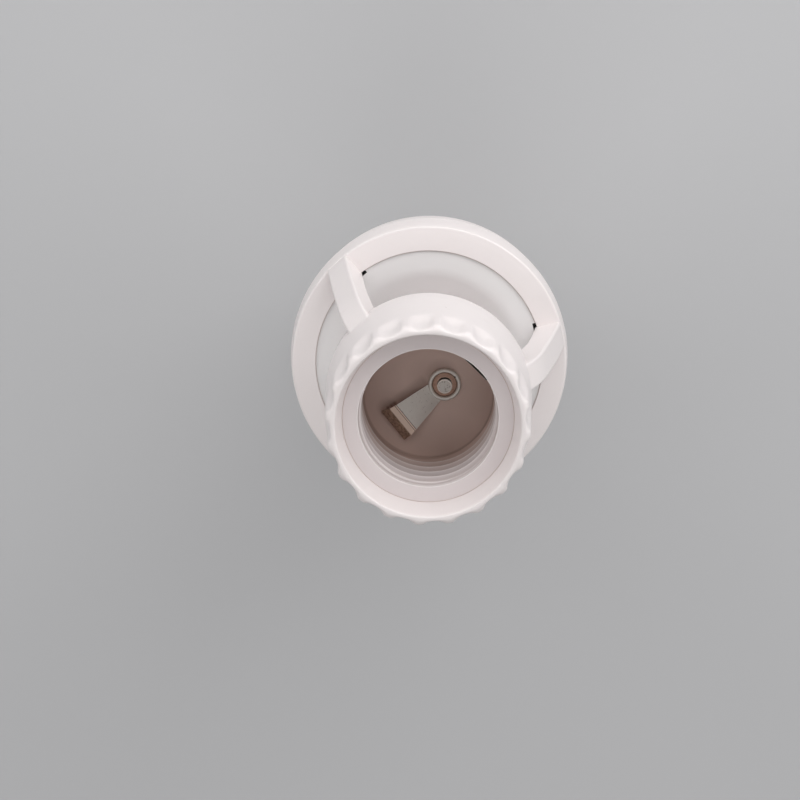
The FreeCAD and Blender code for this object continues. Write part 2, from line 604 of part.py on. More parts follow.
def centre_contact():
    """Sprung leaf on the socket's floor: round head, neck, flared tongue and a bent-over end."""
    body = new_body("centre_contact")
    leaf = "dims.leaf_thickness"
    head_end = "(dims.leaf_pivot + dims.leaf_head_radius)"
    crest_top = f"({FLOOR} + dims.leaf_crest_height)"
    end_top = f"({FLOOR} + dims.leaf_end_height)"
    crest = "dims.leaf_crest_reach"
    half = "dims.leaf_crest_half"
    side = new_sketch(body, "side_outline")
    outline(side, [
        (head_end, f"({FLOOR} + 0.02)"),
        (head_end, f"({FLOOR} + {leaf})"),
        ("dims.leaf_neck_place", f"({FLOOR} + {leaf})"),
        (f"(-{crest} + {half})", f"({crest_top} - 0.15)", (f"(-{crest})", crest_top)),
        (f"(-{crest} - {half})", f"({crest_top} - 0.25)"),
        ("(-dims.leaf_end_reach)", end_top),
        (f"(-dims.leaf_end_reach + 0.4 * {leaf})", f"({end_top} - {leaf})"),
        (f"(-{crest} - {half} + 0.5 * {leaf})", f"({crest_top} - 0.25 - 1.2 * {leaf})"),
        (f"(-{crest} + {half})", f"({crest_top} - 0.15 - {leaf})"),
        ("(dims.leaf_neck_place - 0.2)", f"({FLOOR} + 0.02)"),
    ])
    extrude(body, "PartDesign::Pad", "strip", side, "(2 * dims.leaf_head_radius + 2)", midplane=True)
    doc.recompute()

    far = "(dims.leaf_head_radius + 2)"
    half_neck = "(0.5 * dims.leaf_neck_width)"
    half_end = "(0.5 * dims.leaf_end_width)"
    head_join = f"(dims.leaf_pivot - sqrt(dims.leaf_head_radius ^ 2 - {half_neck} ^ 2))"
    trim_top = f"({FLOOR} + dims.leaf_crest_height + 1)"
    trim_depth = "(dims.leaf_crest_height + 2)"
    for name, sign in (("left", ""), ("right", "-")):
        trim = new_sketch(body, name + "_trim_outline", "XY_Plane", trim_top)
        outline(trim, [
            (f"({head_end} + 1)", "0"),
            (f"({head_end} + 1)", f"({sign}{far})"),
            ("(-dims.leaf_end_reach - 1)", f"({sign}{far})"),
            ("(-dims.leaf_end_reach - 1)", f"({sign}{half_end})"),
            ("(-dims.leaf_end_reach)", f"({sign}{half_end})"),
            (head_join, f"({sign}{half_neck})", ("dims.leaf_pivot", f"({sign}dims.leaf_head_radius)")),
            (head_end, "0"),
        ])
        extrude(body, "PartDesign::Pocket", name + "_trim", trim, trim_depth)
        doc.recompute()

    rim = new_sketch(body, "rim_outline", "XY_Plane", f"({FLOOR} + {leaf})")
    circle_at(rim, "dims.leaf_pivot", "0", "dims.leaf_head_radius")
    circle_at(rim, "dims.leaf_pivot", "0", "dims.leaf_rim_radius")
    extrude(body, "PartDesign::Pad", "rim", rim, "dims.leaf_rim_height")
    doc.recompute()
    hole = new_sketch(body, "rivet_hole_outline", "XY_Plane", f"({FLOOR} + {leaf})")
    circle_at(hole, "dims.leaf_pivot", "0", "(dims.rivet_shank_radius + dims.rivet_clearance)")
    extrude(body, "PartDesign::Pocket", "rivet_hole", hole, f"({leaf} + 0.5)")
    doc.recompute()
    turn_about_axis(body, "dims.contact_azimuth * 1deg", "dims.leaf_shift")
    return body


def centre_rivet():
    """Rivet that holds the leaf's head and carries its lead."""
    body = new_body("centre_rivet")
    leaf_top = f"({FLOOR} + dims.leaf_thickness + 0.02)"
    head_top = f"({leaf_top} + dims.rivet_head_height)"
    tail = f"({FLOOR_UNDERSIDE} - 0.02)"
    tail_end = f"({tail} - 0.8)"
    shank = new_sketch(body, "shank_outline", "XY_Plane", tail_end)
    circle_at(shank, "dims.leaf_pivot", "0", "dims.rivet_shank_radius")
    extrude(body, "PartDesign::Pad", "shank", shank, f"({head_top} - {tail_end})")
    doc.recompute()
    head = new_sketch(body, "head_outline", "XY_Plane", leaf_top)
    circle_at(head, "dims.leaf_pivot", "0", "dims.rivet_head_radius")
    extrude(body, "PartDesign::Pad", "head", head, "dims.rivet_head_height")
    doc.recompute()
    foot = new_sketch(body, "foot_outline", "XY_Plane", tail_end)
    circle_at(foot, "dims.leaf_pivot", "0", "dims.rivet_head_radius")
    extrude(body, "PartDesign::Pad", "foot", foot, "0.8")
    doc.recompute()
    turn_about_axis(body, "dims.contact_azimuth * 1deg", "dims.leaf_shift")
    return body


def side_contact():
    """Sprung strip that rises through the slot in the floor and touches the side of the lamp's cap."""
    body = new_body("side_contact")
    leaf = "dims.leaf_thickness"
    under = f"({FLOOR_UNDERSIDE} - 0.02)"
    strip = new_sketch(body, "strip_outline")
    outline(strip, [
        ("dims.side_foot", under),
        ("dims.side_foot", f"({under} - {leaf})"),
        (f"(dims.side_place + {leaf})", f"({under} - {leaf})"),
        (f"(dims.side_place + {leaf})", f"({FLOOR} - 0.1)"),
        (f"(dims.side_back + {leaf})", f"({FLOOR} + dims.side_back_height)"),
        (f"(dims.side_touch + {leaf})", f"({FLOOR} + dims.side_touch_height)"),
        (f"(dims.side_back + {leaf})", f"({FLOOR} + dims.side_tip_height)"),
        ("dims.side_back", f"({FLOOR} + dims.side_tip_height)"),
        ("dims.side_touch", f"({FLOOR} + dims.side_touch_height)"),
        ("dims.side_back", f"({FLOOR} + dims.side_back_height)"),
        ("dims.side_place", f"({FLOOR} + 0.1)"),
        ("dims.side_place", under),
    ])
    extrude(body, "PartDesign::Pad", "strip", strip, "dims.side_width", midplane=True)
    doc.recompute()
    hole = new_sketch(body, "screw_hole_outline", "XY_Plane", under)
    circle_at(hole, "dims.side_screw_place", "0", "(dims.side_screw_radius + dims.rivet_clearance)")
    extrude(body, "PartDesign::Pocket", "screw_hole", hole, f"(2 * {leaf})")
    doc.recompute()
    turn_about_axis(body, "dims.contact_azimuth * 1deg")
    return body


def side_screw():
    """Screw that holds the side contact's foot under the floor."""
    body = new_body("side_screw")
    head_top = f"({FLOOR_UNDERSIDE} - dims.leaf_thickness - 0.04)"
    head_bottom = f"({head_top} - dims.screw_head_height)"
    head = new_sketch(body, "head_outline", "XY_Plane", head_bottom)
    circle_at(head, "dims.side_screw_place", "0", "dims.side_screw_head")
    extrude(body, "PartDesign::Pad", "head", head, "dims.screw_head_height")
    doc.recompute()
    thread = new_sketch(body, "thread_outline", "XY_Plane", head_bottom)
    circle_at(thread, "dims.side_screw_place", "0", "dims.side_screw_radius")
    reach = "(dims.screw_head_height + dims.leaf_thickness + 0.6 * dims.floor_thickness)"
    extrude(body, "PartDesign::Pad", "thread", thread, reach)
    doc.recompute()
    turn_about_axis(body, "dims.contact_azimuth * 1deg")
    return body


# Circuit board and the parts on it

def circuit_board():
    """Round board on its ledge, with its two screw holes."""
    body = new_body("circuit_board")
    disc = new_sketch(body, "disc_outline", "XY_Plane", BOARD_UNDERSIDE)
    circle_at(disc, "0", "0", BOARD_RADIUS)
    for side in (BOARD_SCREWS, f"(-{BOARD_SCREWS})"):
        circle_at(disc, "0", side, "(dims.board_screw_radius + dims.rivet_clearance)")
    extrude(body, "PartDesign::Pad", "disc", disc, "dims.board_thickness")
    return body


def board_screws():
    """The two like screws that hold the board on its bosses."""
    body = new_body("board_screws")
    body.AllowCompound = True
    sides = (BOARD_SCREWS, f"(-{BOARD_SCREWS})")
    heads = new_sketch(body, "head_outline", "XY_Plane", BOARD_TOP)
    for side in sides:
        circle_at(heads, "0", side, "dims.board_screw_head")
    extrude(body, "PartDesign::Pad", "heads", heads, "dims.screw_head_height")
    doc.recompute()
    threads = new_sketch(body, "thread_outline", "XY_Plane", BOARD_TOP)
    for side in sides:
        circle_at(threads, "0", side, "dims.board_screw_radius")
    extrude(body, "PartDesign::Pad", "threads", threads, "dims.board_screw_length", reversed_side=True)
    return body


def place(piece, across, along, up):
    for axis, expression in (("x", across), ("y", along), ("z", up)):
        piece.setExpression(f"Placement.Base.{axis}", expression)
    return piece


def cylinder(label, radius, height, across, along, up):
    piece = doc.addObject("Part::Cylinder", label)
    piece.Label = label
    piece.setExpression("Radius", radius)
    piece.setExpression("Height", height)
    return place(piece, across, along, up)


def block(label, size, across, along, up):
    """Box centred across and along, standing on a height."""
    piece = doc.addObject("Part::Box", label)
    piece.Label = label
    for side, expression in zip(("Length", "Width", "Height"), size):
        piece.setExpression(side, expression)
    return place(piece, f"({across} - 0.5 * {size[0]})", f"({along} - 0.5 * {size[1]})", up)


def board_parts():
    """Sensors on the board's front, power parts on its rear."""
    sensor_azimuth = "180deg / dims.arm_count"
    front = BOARD_TOP
    spacing = "dims.part_spacing"
    relay_along = f"(dims.wire_radius + {spacing} + 0.5 * dims.relay_width)"
    film_along = f"(-0.5 * dims.film_width - dims.wire_radius - {spacing})"
    beside_film = f"(0.5 * dims.film_length + {spacing})"
    return [
        cylinder("motion_sensor", "dims.sensor_radius", "dims.sensor_height",
                 f"({SENSORS} * cos({sensor_azimuth}))", f"({SENSORS} * sin({sensor_azimuth}))", front),
        cylinder("light_sensor", "dims.light_sensor_radius", "dims.light_sensor_height",
                 f"({SENSORS} * cos({sensor_azimuth}))", f"(-{SENSORS} * sin({sensor_azimuth}))", front),
        block("relay", ("dims.relay_length", "dims.relay_width", "dims.relay_height"),
              "0", relay_along, f"({BOARD_UNDERSIDE} - dims.relay_height)"),
        block("film_capacitor", ("dims.film_length", "dims.film_width", "dims.film_height"),
              "0", film_along, f"({BOARD_UNDERSIDE} - dims.film_height)"),
        cylinder("electrolytic_capacitor", "dims.electrolytic_radius", "dims.electrolytic_height",
                 f"({beside_film} + dims.electrolytic_radius)", film_along,
                 f"({BOARD_UNDERSIDE} - dims.electrolytic_height)"),
        block("rectifier", ("dims.rectifier_length", "dims.rectifier_width", "dims.rectifier_height"),
              f"(-{beside_film} - 0.5 * dims.rectifier_length)", film_along,
              f"({BOARD_UNDERSIDE} - dims.rectifier_height)"),
        block("control_chip", ("dims.chip_length", "dims.chip_width", "dims.chip_height"),
              f"(-{SENSORS})", "0", front),
    ]


def leads():
    """Straight insulated leads: two from the cap to the board, two from the board to the contacts."""
    turn = "dims.contact_azimuth * 1deg"
    under = BOARD_UNDERSIDE
    socket_end = f"({FLOOR_UNDERSIDE} - 0.84)"
    foot_end = f"({FLOOR_UNDERSIDE} - dims.leaf_thickness - 0.06 - dims.screw_head_height)"
    return [
        cylinder("live_lead", "dims.wire_radius", f"({under} - dims.button_shank_length)",
                 "0", "0", "dims.button_shank_length"),
        cylinder("neutral_lead", "dims.wire_radius", f"({under} - dims.insulator_height)",
                 "(-dims.neutral_lead_place)", "0", "dims.insulator_height"),
        cylinder("lamp_live_lead", "dims.wire_radius", f"({socket_end} - {BOARD_TOP})",
                 f"(dims.leaf_pivot * cos({turn}) + dims.leaf_shift * sin({turn}))",
                 f"(dims.leaf_pivot * sin({turn}) - dims.leaf_shift * cos({turn}))", BOARD_TOP),
        cylinder("lamp_neutral_lead", "dims.wire_radius", f"({foot_end} - {BOARD_TOP})",
                 f"(dims.side_screw_place * cos({turn}))",
                 f"(dims.side_screw_place * sin({turn}))", BOARD_TOP),
    ]


pieces = [
    front_housing(),
    lens_ring(),
    socket_insert(),
    rear_housing(),
    cap_shell(),
    cap_insulator(),
    cap_contact(),
    centre_contact(),
    centre_rivet(),
    side_contact(),
    side_screw(),
    circuit_board(),
    board_screws(),
]
pieces += board_parts()
pieces += leads()
doc.recompute()

# Every object is sound before anything is written

for item in doc.Objects:
    faults = {"Invalid", "Error"} & set(item.State)
    if faults:
        raise RuntimeError(f"{item.Name}: {sorted(faults)}")
for piece in pieces:
    shape = piece.Shape
    if shape.isNull() or not shape.isValid() or shape.Volume <= 0:
        raise RuntimeError(f"{piece.Label}: no sound solid")

os.makedirs("parts", exist_ok=True)
for piece in pieces:
    piece.Shape.exportStep(f"parts/{piece.Label}.step")
    box = piece.Shape.BoundBox
    print(f"{piece.Label}: {piece.Shape.Volume:.1f} mm3, {len(piece.Shape.Solids)} solid, "
          f"z {box.ZMin:.2f} to {box.ZMax:.2f}, x {box.XMin:.2f} to {box.XMax:.2f}")
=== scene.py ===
import math

import bmesh
import bpy
from mathutils import Matrix, Vector


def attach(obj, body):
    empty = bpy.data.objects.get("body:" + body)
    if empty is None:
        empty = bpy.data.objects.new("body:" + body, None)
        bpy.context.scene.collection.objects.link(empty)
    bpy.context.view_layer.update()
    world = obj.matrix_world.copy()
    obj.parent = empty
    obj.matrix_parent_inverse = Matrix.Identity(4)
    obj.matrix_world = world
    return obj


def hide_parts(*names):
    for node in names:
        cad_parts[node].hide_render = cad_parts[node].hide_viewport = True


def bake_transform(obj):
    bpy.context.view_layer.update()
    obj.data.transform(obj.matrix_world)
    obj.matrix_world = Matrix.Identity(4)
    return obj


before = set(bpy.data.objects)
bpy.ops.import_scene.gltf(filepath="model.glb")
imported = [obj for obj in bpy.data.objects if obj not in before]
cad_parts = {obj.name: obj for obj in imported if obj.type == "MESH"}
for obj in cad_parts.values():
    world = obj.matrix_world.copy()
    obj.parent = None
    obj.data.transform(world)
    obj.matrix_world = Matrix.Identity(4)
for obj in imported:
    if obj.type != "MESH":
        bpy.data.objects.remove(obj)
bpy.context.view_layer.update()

bl_info = {
    "name": "Sensor Lamp Holder",
    "version": (1, 0, 0),
    "blender": (4, 5, 0),
    "location": "3D View > Sidebar > Lamp Holder",
    "description": "Models and finishes a screw-in lamp holder with a sensor window around its solid frame",
    "category": "Object",
}

# Millimetres and degrees are used below; the scene is in metres. Heights are over the cap's tip.
MM = 0.001
HOLDER = "holder"

MOUTH = 114.0
INSERT_FACE = 107.5
COLLAR_FOOT = 105.2
BARREL_END = 86.9
SOCKET_FLOOR = 86.5
FLOOR_UNDERSIDE = 83.5
RING_FACE = 57.5
WINDOW_FACE = 57.1
RING_JOINT = 50.0
HOUSING_FLOOR = 25.0

ARM_AZIMUTHS = (0.0, 120.0, 240.0)
# The contacts lie along one line through the axis. The leaf's head is centred along it and across it.
CONTACT_AZIMUTH = 26.0
LEAF_CENTRE = 3.53
LEAF_SHIFT = -0.43

ROUND_STEPS = 192
FINE_STEPS = 256
SMALL_STEPS = 96
ARC_SEGMENTS = 5
SMOOTH_ANGLE = 35.0
MERGE_DISTANCE = 0.002 * MM


# Selecting, starting and joining pieces

def select_only(obj):
    """Leaves edit mode and makes one object the only selected and the active one."""
    if bpy.context.object and bpy.context.object.mode != "OBJECT":
        bpy.ops.object.mode_set(mode="OBJECT")
    bpy.ops.object.select_all(action="DESELECT")
    if obj:
        obj.select_set(True)
        bpy.context.view_layer.objects.active = obj


def edit_all(obj):
    """Enters edit mode with all of one object selected."""
    select_only(obj)
    bpy.ops.object.mode_set(mode="EDIT")
    bpy.ops.mesh.select_all(action="SELECT")


def begin(kind, name, **where):
    """Adds a primitive, names it and enters edit mode with all of it selected."""
    select_only(None)
    getattr(bpy.ops.mesh, f"primitive_{kind}_add")(**where)
    obj = bpy.context.object
    obj.name = obj.data.name = name
    bpy.ops.object.transform_apply(location=True, rotation=True, scale=True)
    edit_all(obj)
    return obj


def pick(obj, test, faces=False):
    """Selects the vertices, or with faces the faces, whose place in millimetres passes the test."""
    mesh = bmesh.from_edit_mesh(obj.data)
    bpy.ops.mesh.select_all(action="DESELECT")
    for item in (mesh.faces if faces else mesh.verts):
        place = item.calc_center_median() if faces else item.co
        if test(place / MM):
            item.select_set(True)
    mesh.select_flush(True)
    bmesh.update_edit_mesh(obj.data)


def finish_mesh(obj, smooth_degrees=SMOOTH_ANGLE, recalculate=True):
    """Merges doubles, turns the faces outwards and shades them smooth up to an angle."""
    edit_all(obj)
    bpy.ops.mesh.remove_doubles(threshold=MERGE_DISTANCE)
    if recalculate:
        bpy.ops.mesh.normals_make_consistent(inside=False)
    bpy.ops.object.mode_set(mode="OBJECT")
    bpy.ops.object.shade_smooth_by_angle(angle=math.radians(smooth_degrees))
    return obj


def modify(obj, kind, **settings):
    """Adds a modifier with its settings and applies it."""
    select_only(obj)
    bpy.ops.object.modifier_add(type=kind)
    modifier = obj.modifiers[-1]
    for key, value in settings.items():
        setattr(modifier, key, value)
    bpy.ops.object.modifier_apply(modifier=modifier.name)


def combine(obj, cutter, operation="DIFFERENCE"):
    """Cuts a closed piece with another, or keeps what both share; the second one is used up."""
    modify(obj, "BOOLEAN", operation=operation, solver="EXACT", object=cutter)
    bpy.data.objects.remove(cutter)


def join(first, others):
    """Makes several pieces one mesh."""
    select_only(first)
    for other in others:
        other.select_set(True)
    bpy.ops.object.join()
    return first


def copy_turned(obj, degrees):
    """A copy with its own mesh, turned about the axis."""
    select_only(obj)
    bpy.ops.object.duplicate(linked=False)
    twin = bpy.context.object
    turn(twin, degrees)
    return twin


def turn(obj, degrees, shift=(0.0, 0.0, 0.0)):
    """Turns a piece's mesh about the axis, then shifts it by millimetres."""
    select_only(obj)
    obj.matrix_world = Matrix.Translation(Vector(shift) * MM) @ Matrix.Rotation(math.radians(degrees), 4, "Z")
    bpy.ops.object.transform_apply(location=True, rotation=True, scale=True)
    return obj


# Drawing outlines, turned pieces, blocks and sheets

SHEET_EDGE = 0.05


def rounded(corners):
    """Outline through corners of (across, up) or (across, up, radius), with an arc where there is a radius."""
    points = []
    for number, corner in enumerate(corners):
        here = Vector(corner[:2])
        if len(corner) == 2:
            points.append(here)
            continue
        before = Vector(corners[number - 1][:2]) - here
        after = Vector(corners[(number + 1) % len(corners)][:2]) - here
        half = before.angle(after) / 2.0
        reach = min(corner[2] / math.tan(half), 0.49 * before.length, 0.49 * after.length)
        radius = reach * math.tan(half)
        centre = here + (before.normalized() + after.normalized()).normalized() * (radius / math.sin(half))
        start = here + before.normalized() * reach - centre
        end = here + after.normalized() * reach - centre
        sweep = start.angle_signed(end)
        for step in range(ARC_SEGMENTS + 1):
            spoke = start.copy()
            spoke.rotate(Matrix.Rotation(-sweep * step / ARC_SEGMENTS, 2))
            points.append(centre + spoke)
    return [(point.x, point.y) for point in points]


def draw(name, points, closed=True):
    """An outline of (across, up) points in the XZ plane, drawn by extruding one vertex."""
    obj = begin("plane", name, size=MM)
    bpy.ops.mesh.merge(type="CENTER")
    bpy.ops.transform.translate(value=(points[0][0] * MM, 0.0, points[0][1] * MM))
    for here, there in zip(points, points[1:]):
        step = ((there[0] - here[0]) * MM, 0.0, (there[1] - here[1]) * MM)
        bpy.ops.mesh.extrude_vertices_move(TRANSFORM_OT_translate={"value": step})
    if closed:
        ends = (Vector((points[0][0], 0.0, points[0][1])), Vector((points[-1][0], 0.0, points[-1][1])))
        pick(obj, lambda place: min((place - end).length for end in ends) < 1e-4)
        bpy.ops.mesh.edge_face_add()
    bpy.ops.mesh.select_all(action="SELECT")
    return obj


def turned(name, points, steps=ROUND_STEPS, closed=True):
    """A turned piece: an outline of (radius, height) spun about the axis."""
    obj = draw(name, points, closed)
    bpy.ops.mesh.spin(steps=steps, angle=2.0 * math.pi, center=(0.0, 0.0, 0.0), axis=(0.0, 0.0, 1.0))
    return finish_mesh(obj)


def box(name, low, high):
    """A block between two corners in millimetres."""
    obj = begin("cube", name, size=MM)
    middle = [(a + b) / 2.0 * MM for a, b in zip(low, high)]
    bpy.ops.transform.resize(value=[b - a for a, b in zip(low, high)])
    bpy.ops.transform.translate(value=middle)
    bpy.ops.object.mode_set(mode="OBJECT")
    return obj


def begin_edge(name):
    """Starts a piece from one edge across the XZ plane, selected in edit mode."""
    obj = begin("plane", name, size=MM)
    bpy.ops.mesh.delete(type="ONLY_FACE")
    pick(obj, lambda place: place.x > 0)
    bpy.ops.mesh.delete(type="VERT")
    bpy.ops.mesh.select_all(action="SELECT")
    return obj


def strip(name, path, half_width, thickness):
    """A bent sheet: a path of (across, up) points with a half width at each, made thick."""
    obj = begin_edge(name)
    first = path[0]
    bpy.ops.transform.resize(value=(1.0, 2.0 * half_width(first[0]), 1.0))
    bpy.ops.transform.translate(value=((first[0] + 0.5) * MM, 0.0, first[1] * MM))
    for here, there in zip(path, path[1:]):
        step = ((there[0] - here[0]) * MM, 0.0, (there[1] - here[1]) * MM)
        bpy.ops.mesh.extrude_edges_move(TRANSFORM_OT_translate={"value": step})
        share = half_width(there[0]) / half_width(here[0])
        bpy.ops.transform.resize(value=(1.0, share, 1.0),
                                 center_override=(there[0] * MM, 0.0, there[1] * MM))
    finish_mesh(obj)
    modify(obj, "SOLIDIFY", thickness=thickness * MM, offset=-1.0)
    modify(obj, "BEVEL", width=SHEET_EDGE * MM, segments=2, limit_method="ANGLE",
           angle_limit=math.radians(50.0))
    return finish_mesh(obj, 40.0)


# Edison thread

THREAD_PITCH = 3.629
THREAD_DEPTH = 1.1
THREAD_POINTS = 16
THREAD_STEPS = 144
KEENNESS = 1.7
THREAD_MERGE = 0.005 * MM
CUT_TOLERANCE = 0.0001 * MM


def round_thread(offset):
    """Depth below the crest at a distance along the axis from it, for a rolled shell."""
    return THREAD_DEPTH * (0.5 - 0.5 * math.cos(2.0 * math.pi * offset / THREAD_PITCH))


def keen_thread(offset):
    """The same for the core of the moulded socket, whose inner crests come to a fine edge."""
    reach = offset / THREAD_PITCH % 1.0
    return THREAD_DEPTH * (2.0 * min(reach, 1.0 - reach)) ** KEENNESS


def threaded_rod(name, crest_radius, crest_height, low, high, drop=round_thread):
    """A rod with a right-handed lamp thread and square ends. The crest's height is at azimuth 0."""
    pitch_step = THREAD_PITCH / THREAD_POINTS
    first = int((low - 2.0 * THREAD_PITCH - crest_height) / pitch_step)
    last = int((high + 2.0 * THREAD_PITCH - crest_height) / pitch_step)
    offsets = [number * pitch_step for number in range(first, last + 1)]
    points = [(crest_radius - drop(offset), crest_height + offset) for offset in offsets]
    obj = draw(name, points, closed=False)
    modify(obj, "SCREW", angle=2.0 * math.pi, screw_offset=THREAD_PITCH * MM, iterations=1,
           steps=THREAD_STEPS, render_steps=THREAD_STEPS, use_merge_vertices=False)
    edit_all(obj)
    bpy.ops.mesh.remove_doubles(threshold=THREAD_MERGE)
    for height, side in ((low, "clear_inner"), (high, "clear_outer")):
        bpy.ops.mesh.select_all(action="SELECT")
        bpy.ops.mesh.bisect(plane_co=(0.0, 0.0, height * MM), plane_no=(0.0, 0.0, 1.0), use_fill=True,
                            threshold=CUT_TOLERANCE, **{side: True})
    return finish_mesh(obj, 50.0)


# Materials

SPECK_BROWN = (0.20, 0.14, 0.11)
# Painted shade in gaps and notches, and how strongly it is laid on.
GAP_SHADE = (0.02, 0.018, 0.016)
GAP_SHADE_SHARE = 0.93
RUB_DEPTH = 0.00004
FINE_RUB_DEPTH = 0.00002
PLASTIC_IOR = 1.5


class Wire:
    """A socket in a material. Arithmetic on it adds Math nodes."""

    def __init__(self, paint, socket):
        self.paint = paint
        self.socket = socket

    def _math(self, operation, first, second):
        return self.paint.node("ShaderNodeMath", "Value", {"operation": operation}, {0: first, 1: second})

    def __add__(self, other):
        return self._math("ADD", self, other)

    __radd__ = __add__

    def __sub__(self, other):
        return self._math("SUBTRACT", self, other)

    def __rsub__(self, other):
        return self._math("SUBTRACT", other, self)

    def __mul__(self, other):
        return self._math("MULTIPLY", self, other)

    __rmul__ = __mul__


class Paint:
    """One material under construction, around a Principled shader."""

    def __init__(self, name):
        self.material = bpy.data.materials.new(name)
        self.material.use_nodes = True
        self.tree = self.material.node_tree
        self.shader = self.tree.nodes["Principled BSDF"]

    def node(self, kind, output, settings=None, inputs=None):
        """Adds a node: its settings first, then the values or links of its sockets; gives one output."""
        made = self.tree.nodes.new(kind)
        for key, value in (settings or {}).items():
            setattr(made, key, value)
        for key, value in (inputs or {}).items():
            self.feed(made.inputs[key], value)
        return Wire(self, made.outputs[output])

    def feed(self, socket, value):
        """Links a wire to a socket, or sets the socket to a number, a colour or a vector."""
        if isinstance(value, Wire):
            self.tree.links.new(value.socket, socket)
        elif socket.type == "RGBA":
            socket.default_value = (*tuple(value)[:3], 1.0)
        else:
            socket.default_value = value

    def place(self):
        """Object coordinates, in metres."""
        return self.node("ShaderNodeTexCoord", "Object")

    def noise(self, scale, detail=2.0, stretch=(1.0, 1.0, 1.0)):
        """Cloudy noise around one half, stretched along the object's axes."""
        where = self.node("ShaderNodeMapping", "Vector", None, {"Vector": self.place(), "Scale": stretch})
        return self.node("ShaderNodeTexNoise", "Fac", None,
                         {"Vector": where, "Scale": scale, "Detail": detail})

    def blend(self, share, first, second):
        """Mixes two colours: the first at share 0, the second at share 1."""
        return self.node("ShaderNodeMix", 2, {"data_type": "RGBA"}, {0: share, 6: first, 7: second})

    def ranged(self, value, low, high, to_low=0.0, to_high=1.0):
        """Maps a value from one range to another and stays inside it."""
        return self.node("ShaderNodeMapRange", "Result", {"clamp": True},
                         {"Value": value, "From Min": low, "From Max": high,
                          "To Min": to_low, "To Max": to_high})

    def bump(self, height, strength, distance):
        """Roughens the surface; the distance is in metres, for a height of 1."""
        normal = self.node("ShaderNodeBump", "Normal", None,
                           {"Strength": strength, "Distance": distance, "Height": height})
        self.feed(self.shader.inputs["Normal"], normal)

    def measured(self, operation, *inputs):
        """A length from a Vector Math node, in millimetres."""
        reach = self.node("ShaderNodeVectorMath", "Value", {"operation": operation}, dict(enumerate(inputs)))
        return reach * (1.0 / MM)

    def along(self, direction):
        """Distance from the origin along a direction."""
        return self.measured("DOT_PRODUCT", self.place(), Vector(direction))

    def height(self):
        """Height over the cap's tip."""
        return self.along((0.0, 0.0, 1.0))

    def contact_axes(self):
        """Distances from the axis along the contacts' line and across it."""
        azimuth = math.radians(CONTACT_AZIMUTH)
        return (self.along((math.cos(azimuth), math.sin(azimuth), 0.0)),
                self.along((-math.sin(azimuth), math.cos(azimuth), 0.0)))

    def band(self, value, low, high, soft):
        """1 between two values, fading to 0 outside them."""
        return self.ranged(value, low - soft, low) * self.ranged(value, high, high + soft, 1.0, 0.0)

    def distance(self, centre):
        """Distance from a place in millimetres."""
        return self.measured("DISTANCE", self.place(), Vector(centre) * MM)

    def radius(self):
        """Distance from the holder's axis."""
        flat = self.node("ShaderNodeVectorMath", "Vector", {"operation": "MULTIPLY"},
                         {0: self.place(), 1: (1.0, 1.0, 0.0)})
        return self.measured("LENGTH", flat)

    def spot(self, centre, radius, hard=0.6):
        """1 inside a round spot at a place in millimetres, 0 outside; hard is the share without fading."""
        return self.ranged(self.distance(centre), radius * hard, radius, 1.0, 0.0)

    def set(self, **values):
        """Sets or links the shader's own values and gives the finished material."""
        for name, value in values.items():
            self.feed(self.shader.inputs[name.replace("_", " ").title().replace("Ior", "IOR")], value)
        return self.material


def shade(color, share):
    """A colour made darker by the same share in all channels."""
    return [channel * share for channel in color]


def moulded_plastic(name, color, roughness, specks=(), wear_and_painted_light=None):
    """Moulded plastic with faint unevenness, dust and specks; wear_and_painted_light(paint, tint) adds a
    piece's own wear and painted light and shade.
    """
    paint = Paint(name)
    cloud = paint.noise(45.0, 3.0)
    dust = paint.ranged(paint.noise(420.0, 4.0), 0.60, 0.78)
    tint = paint.blend(cloud, color, shade(color, 0.955))
    if wear_and_painted_light:
        tint = wear_and_painted_light(paint, tint)
    tint = paint.blend(dust * 0.10, tint, (color[0] * 0.80, color[1] * 0.76, color[2] * 0.72))
    for centre, radius in specks:
        tint = paint.blend(paint.spot(centre, radius) * 0.62, tint, SPECK_BROWN)
    grain = paint.noise(2600.0)
    paint.bump(grain + paint.noise(160.0) * 1.5, 0.12, RUB_DEPTH)
    return paint.set(base_color=tint, ior=PLASTIC_IOR,
                     roughness=paint.ranged(cloud + dust * 0.3, 0.2, 0.9, roughness - 0.05, roughness + 0.08))


def bore_painted_shade(paint, tint):
    """Painted shade: the ring's bore is darkened where the window's notches let one see it."""
    bore_shade = paint.ranged(paint.height(), 56.7, 57.0, 1.0, 0.0) * paint.band(paint.radius(), 21.95, 22.9, 0.05)
    return paint.blend(bore_shade * GAP_SHADE_SHARE, tint, GAP_SHADE)


def milky_plastic(name, color):
    """The window's plastic, with a brown seam along its edge and painted shade on the walls in its notches."""
    paint = Paint(name)
    cloud = paint.noise(60.0, 3.0)
    paint.bump(paint.noise(900.0), 0.06, RUB_DEPTH)
    tint = paint.blend(cloud, color, shade(color, 0.96))
    radius = paint.radius()
    tint = paint.blend(paint.ranged(radius, 22.60, 22.72) * 0.55, tint, (0.40, 0.30, 0.24))
    notch_wall_shade = paint.ranged(paint.height(), 56.6, 56.9, 1.0, 0.0) * paint.ranged(radius, 21.84, 21.88)
    tint = paint.blend(notch_wall_shade * GAP_SHADE_SHARE, tint, GAP_SHADE)
    return paint.set(base_color=tint, roughness=paint.ranged(cloud, 0.2, 0.8, 0.34, 0.44), ior=PLASTIC_IOR)


# Wear and painted light and shade in the socket

# Browner towards the socket's floor: partly heat tan, partly painted shade of the deep socket.
SOCKET_TAN_AND_SHADE = (0.80, 0.625, 0.555)
TAN_AND_SHADE_END = 98.0
THREAD_SEEN = (88.0, 104.9)
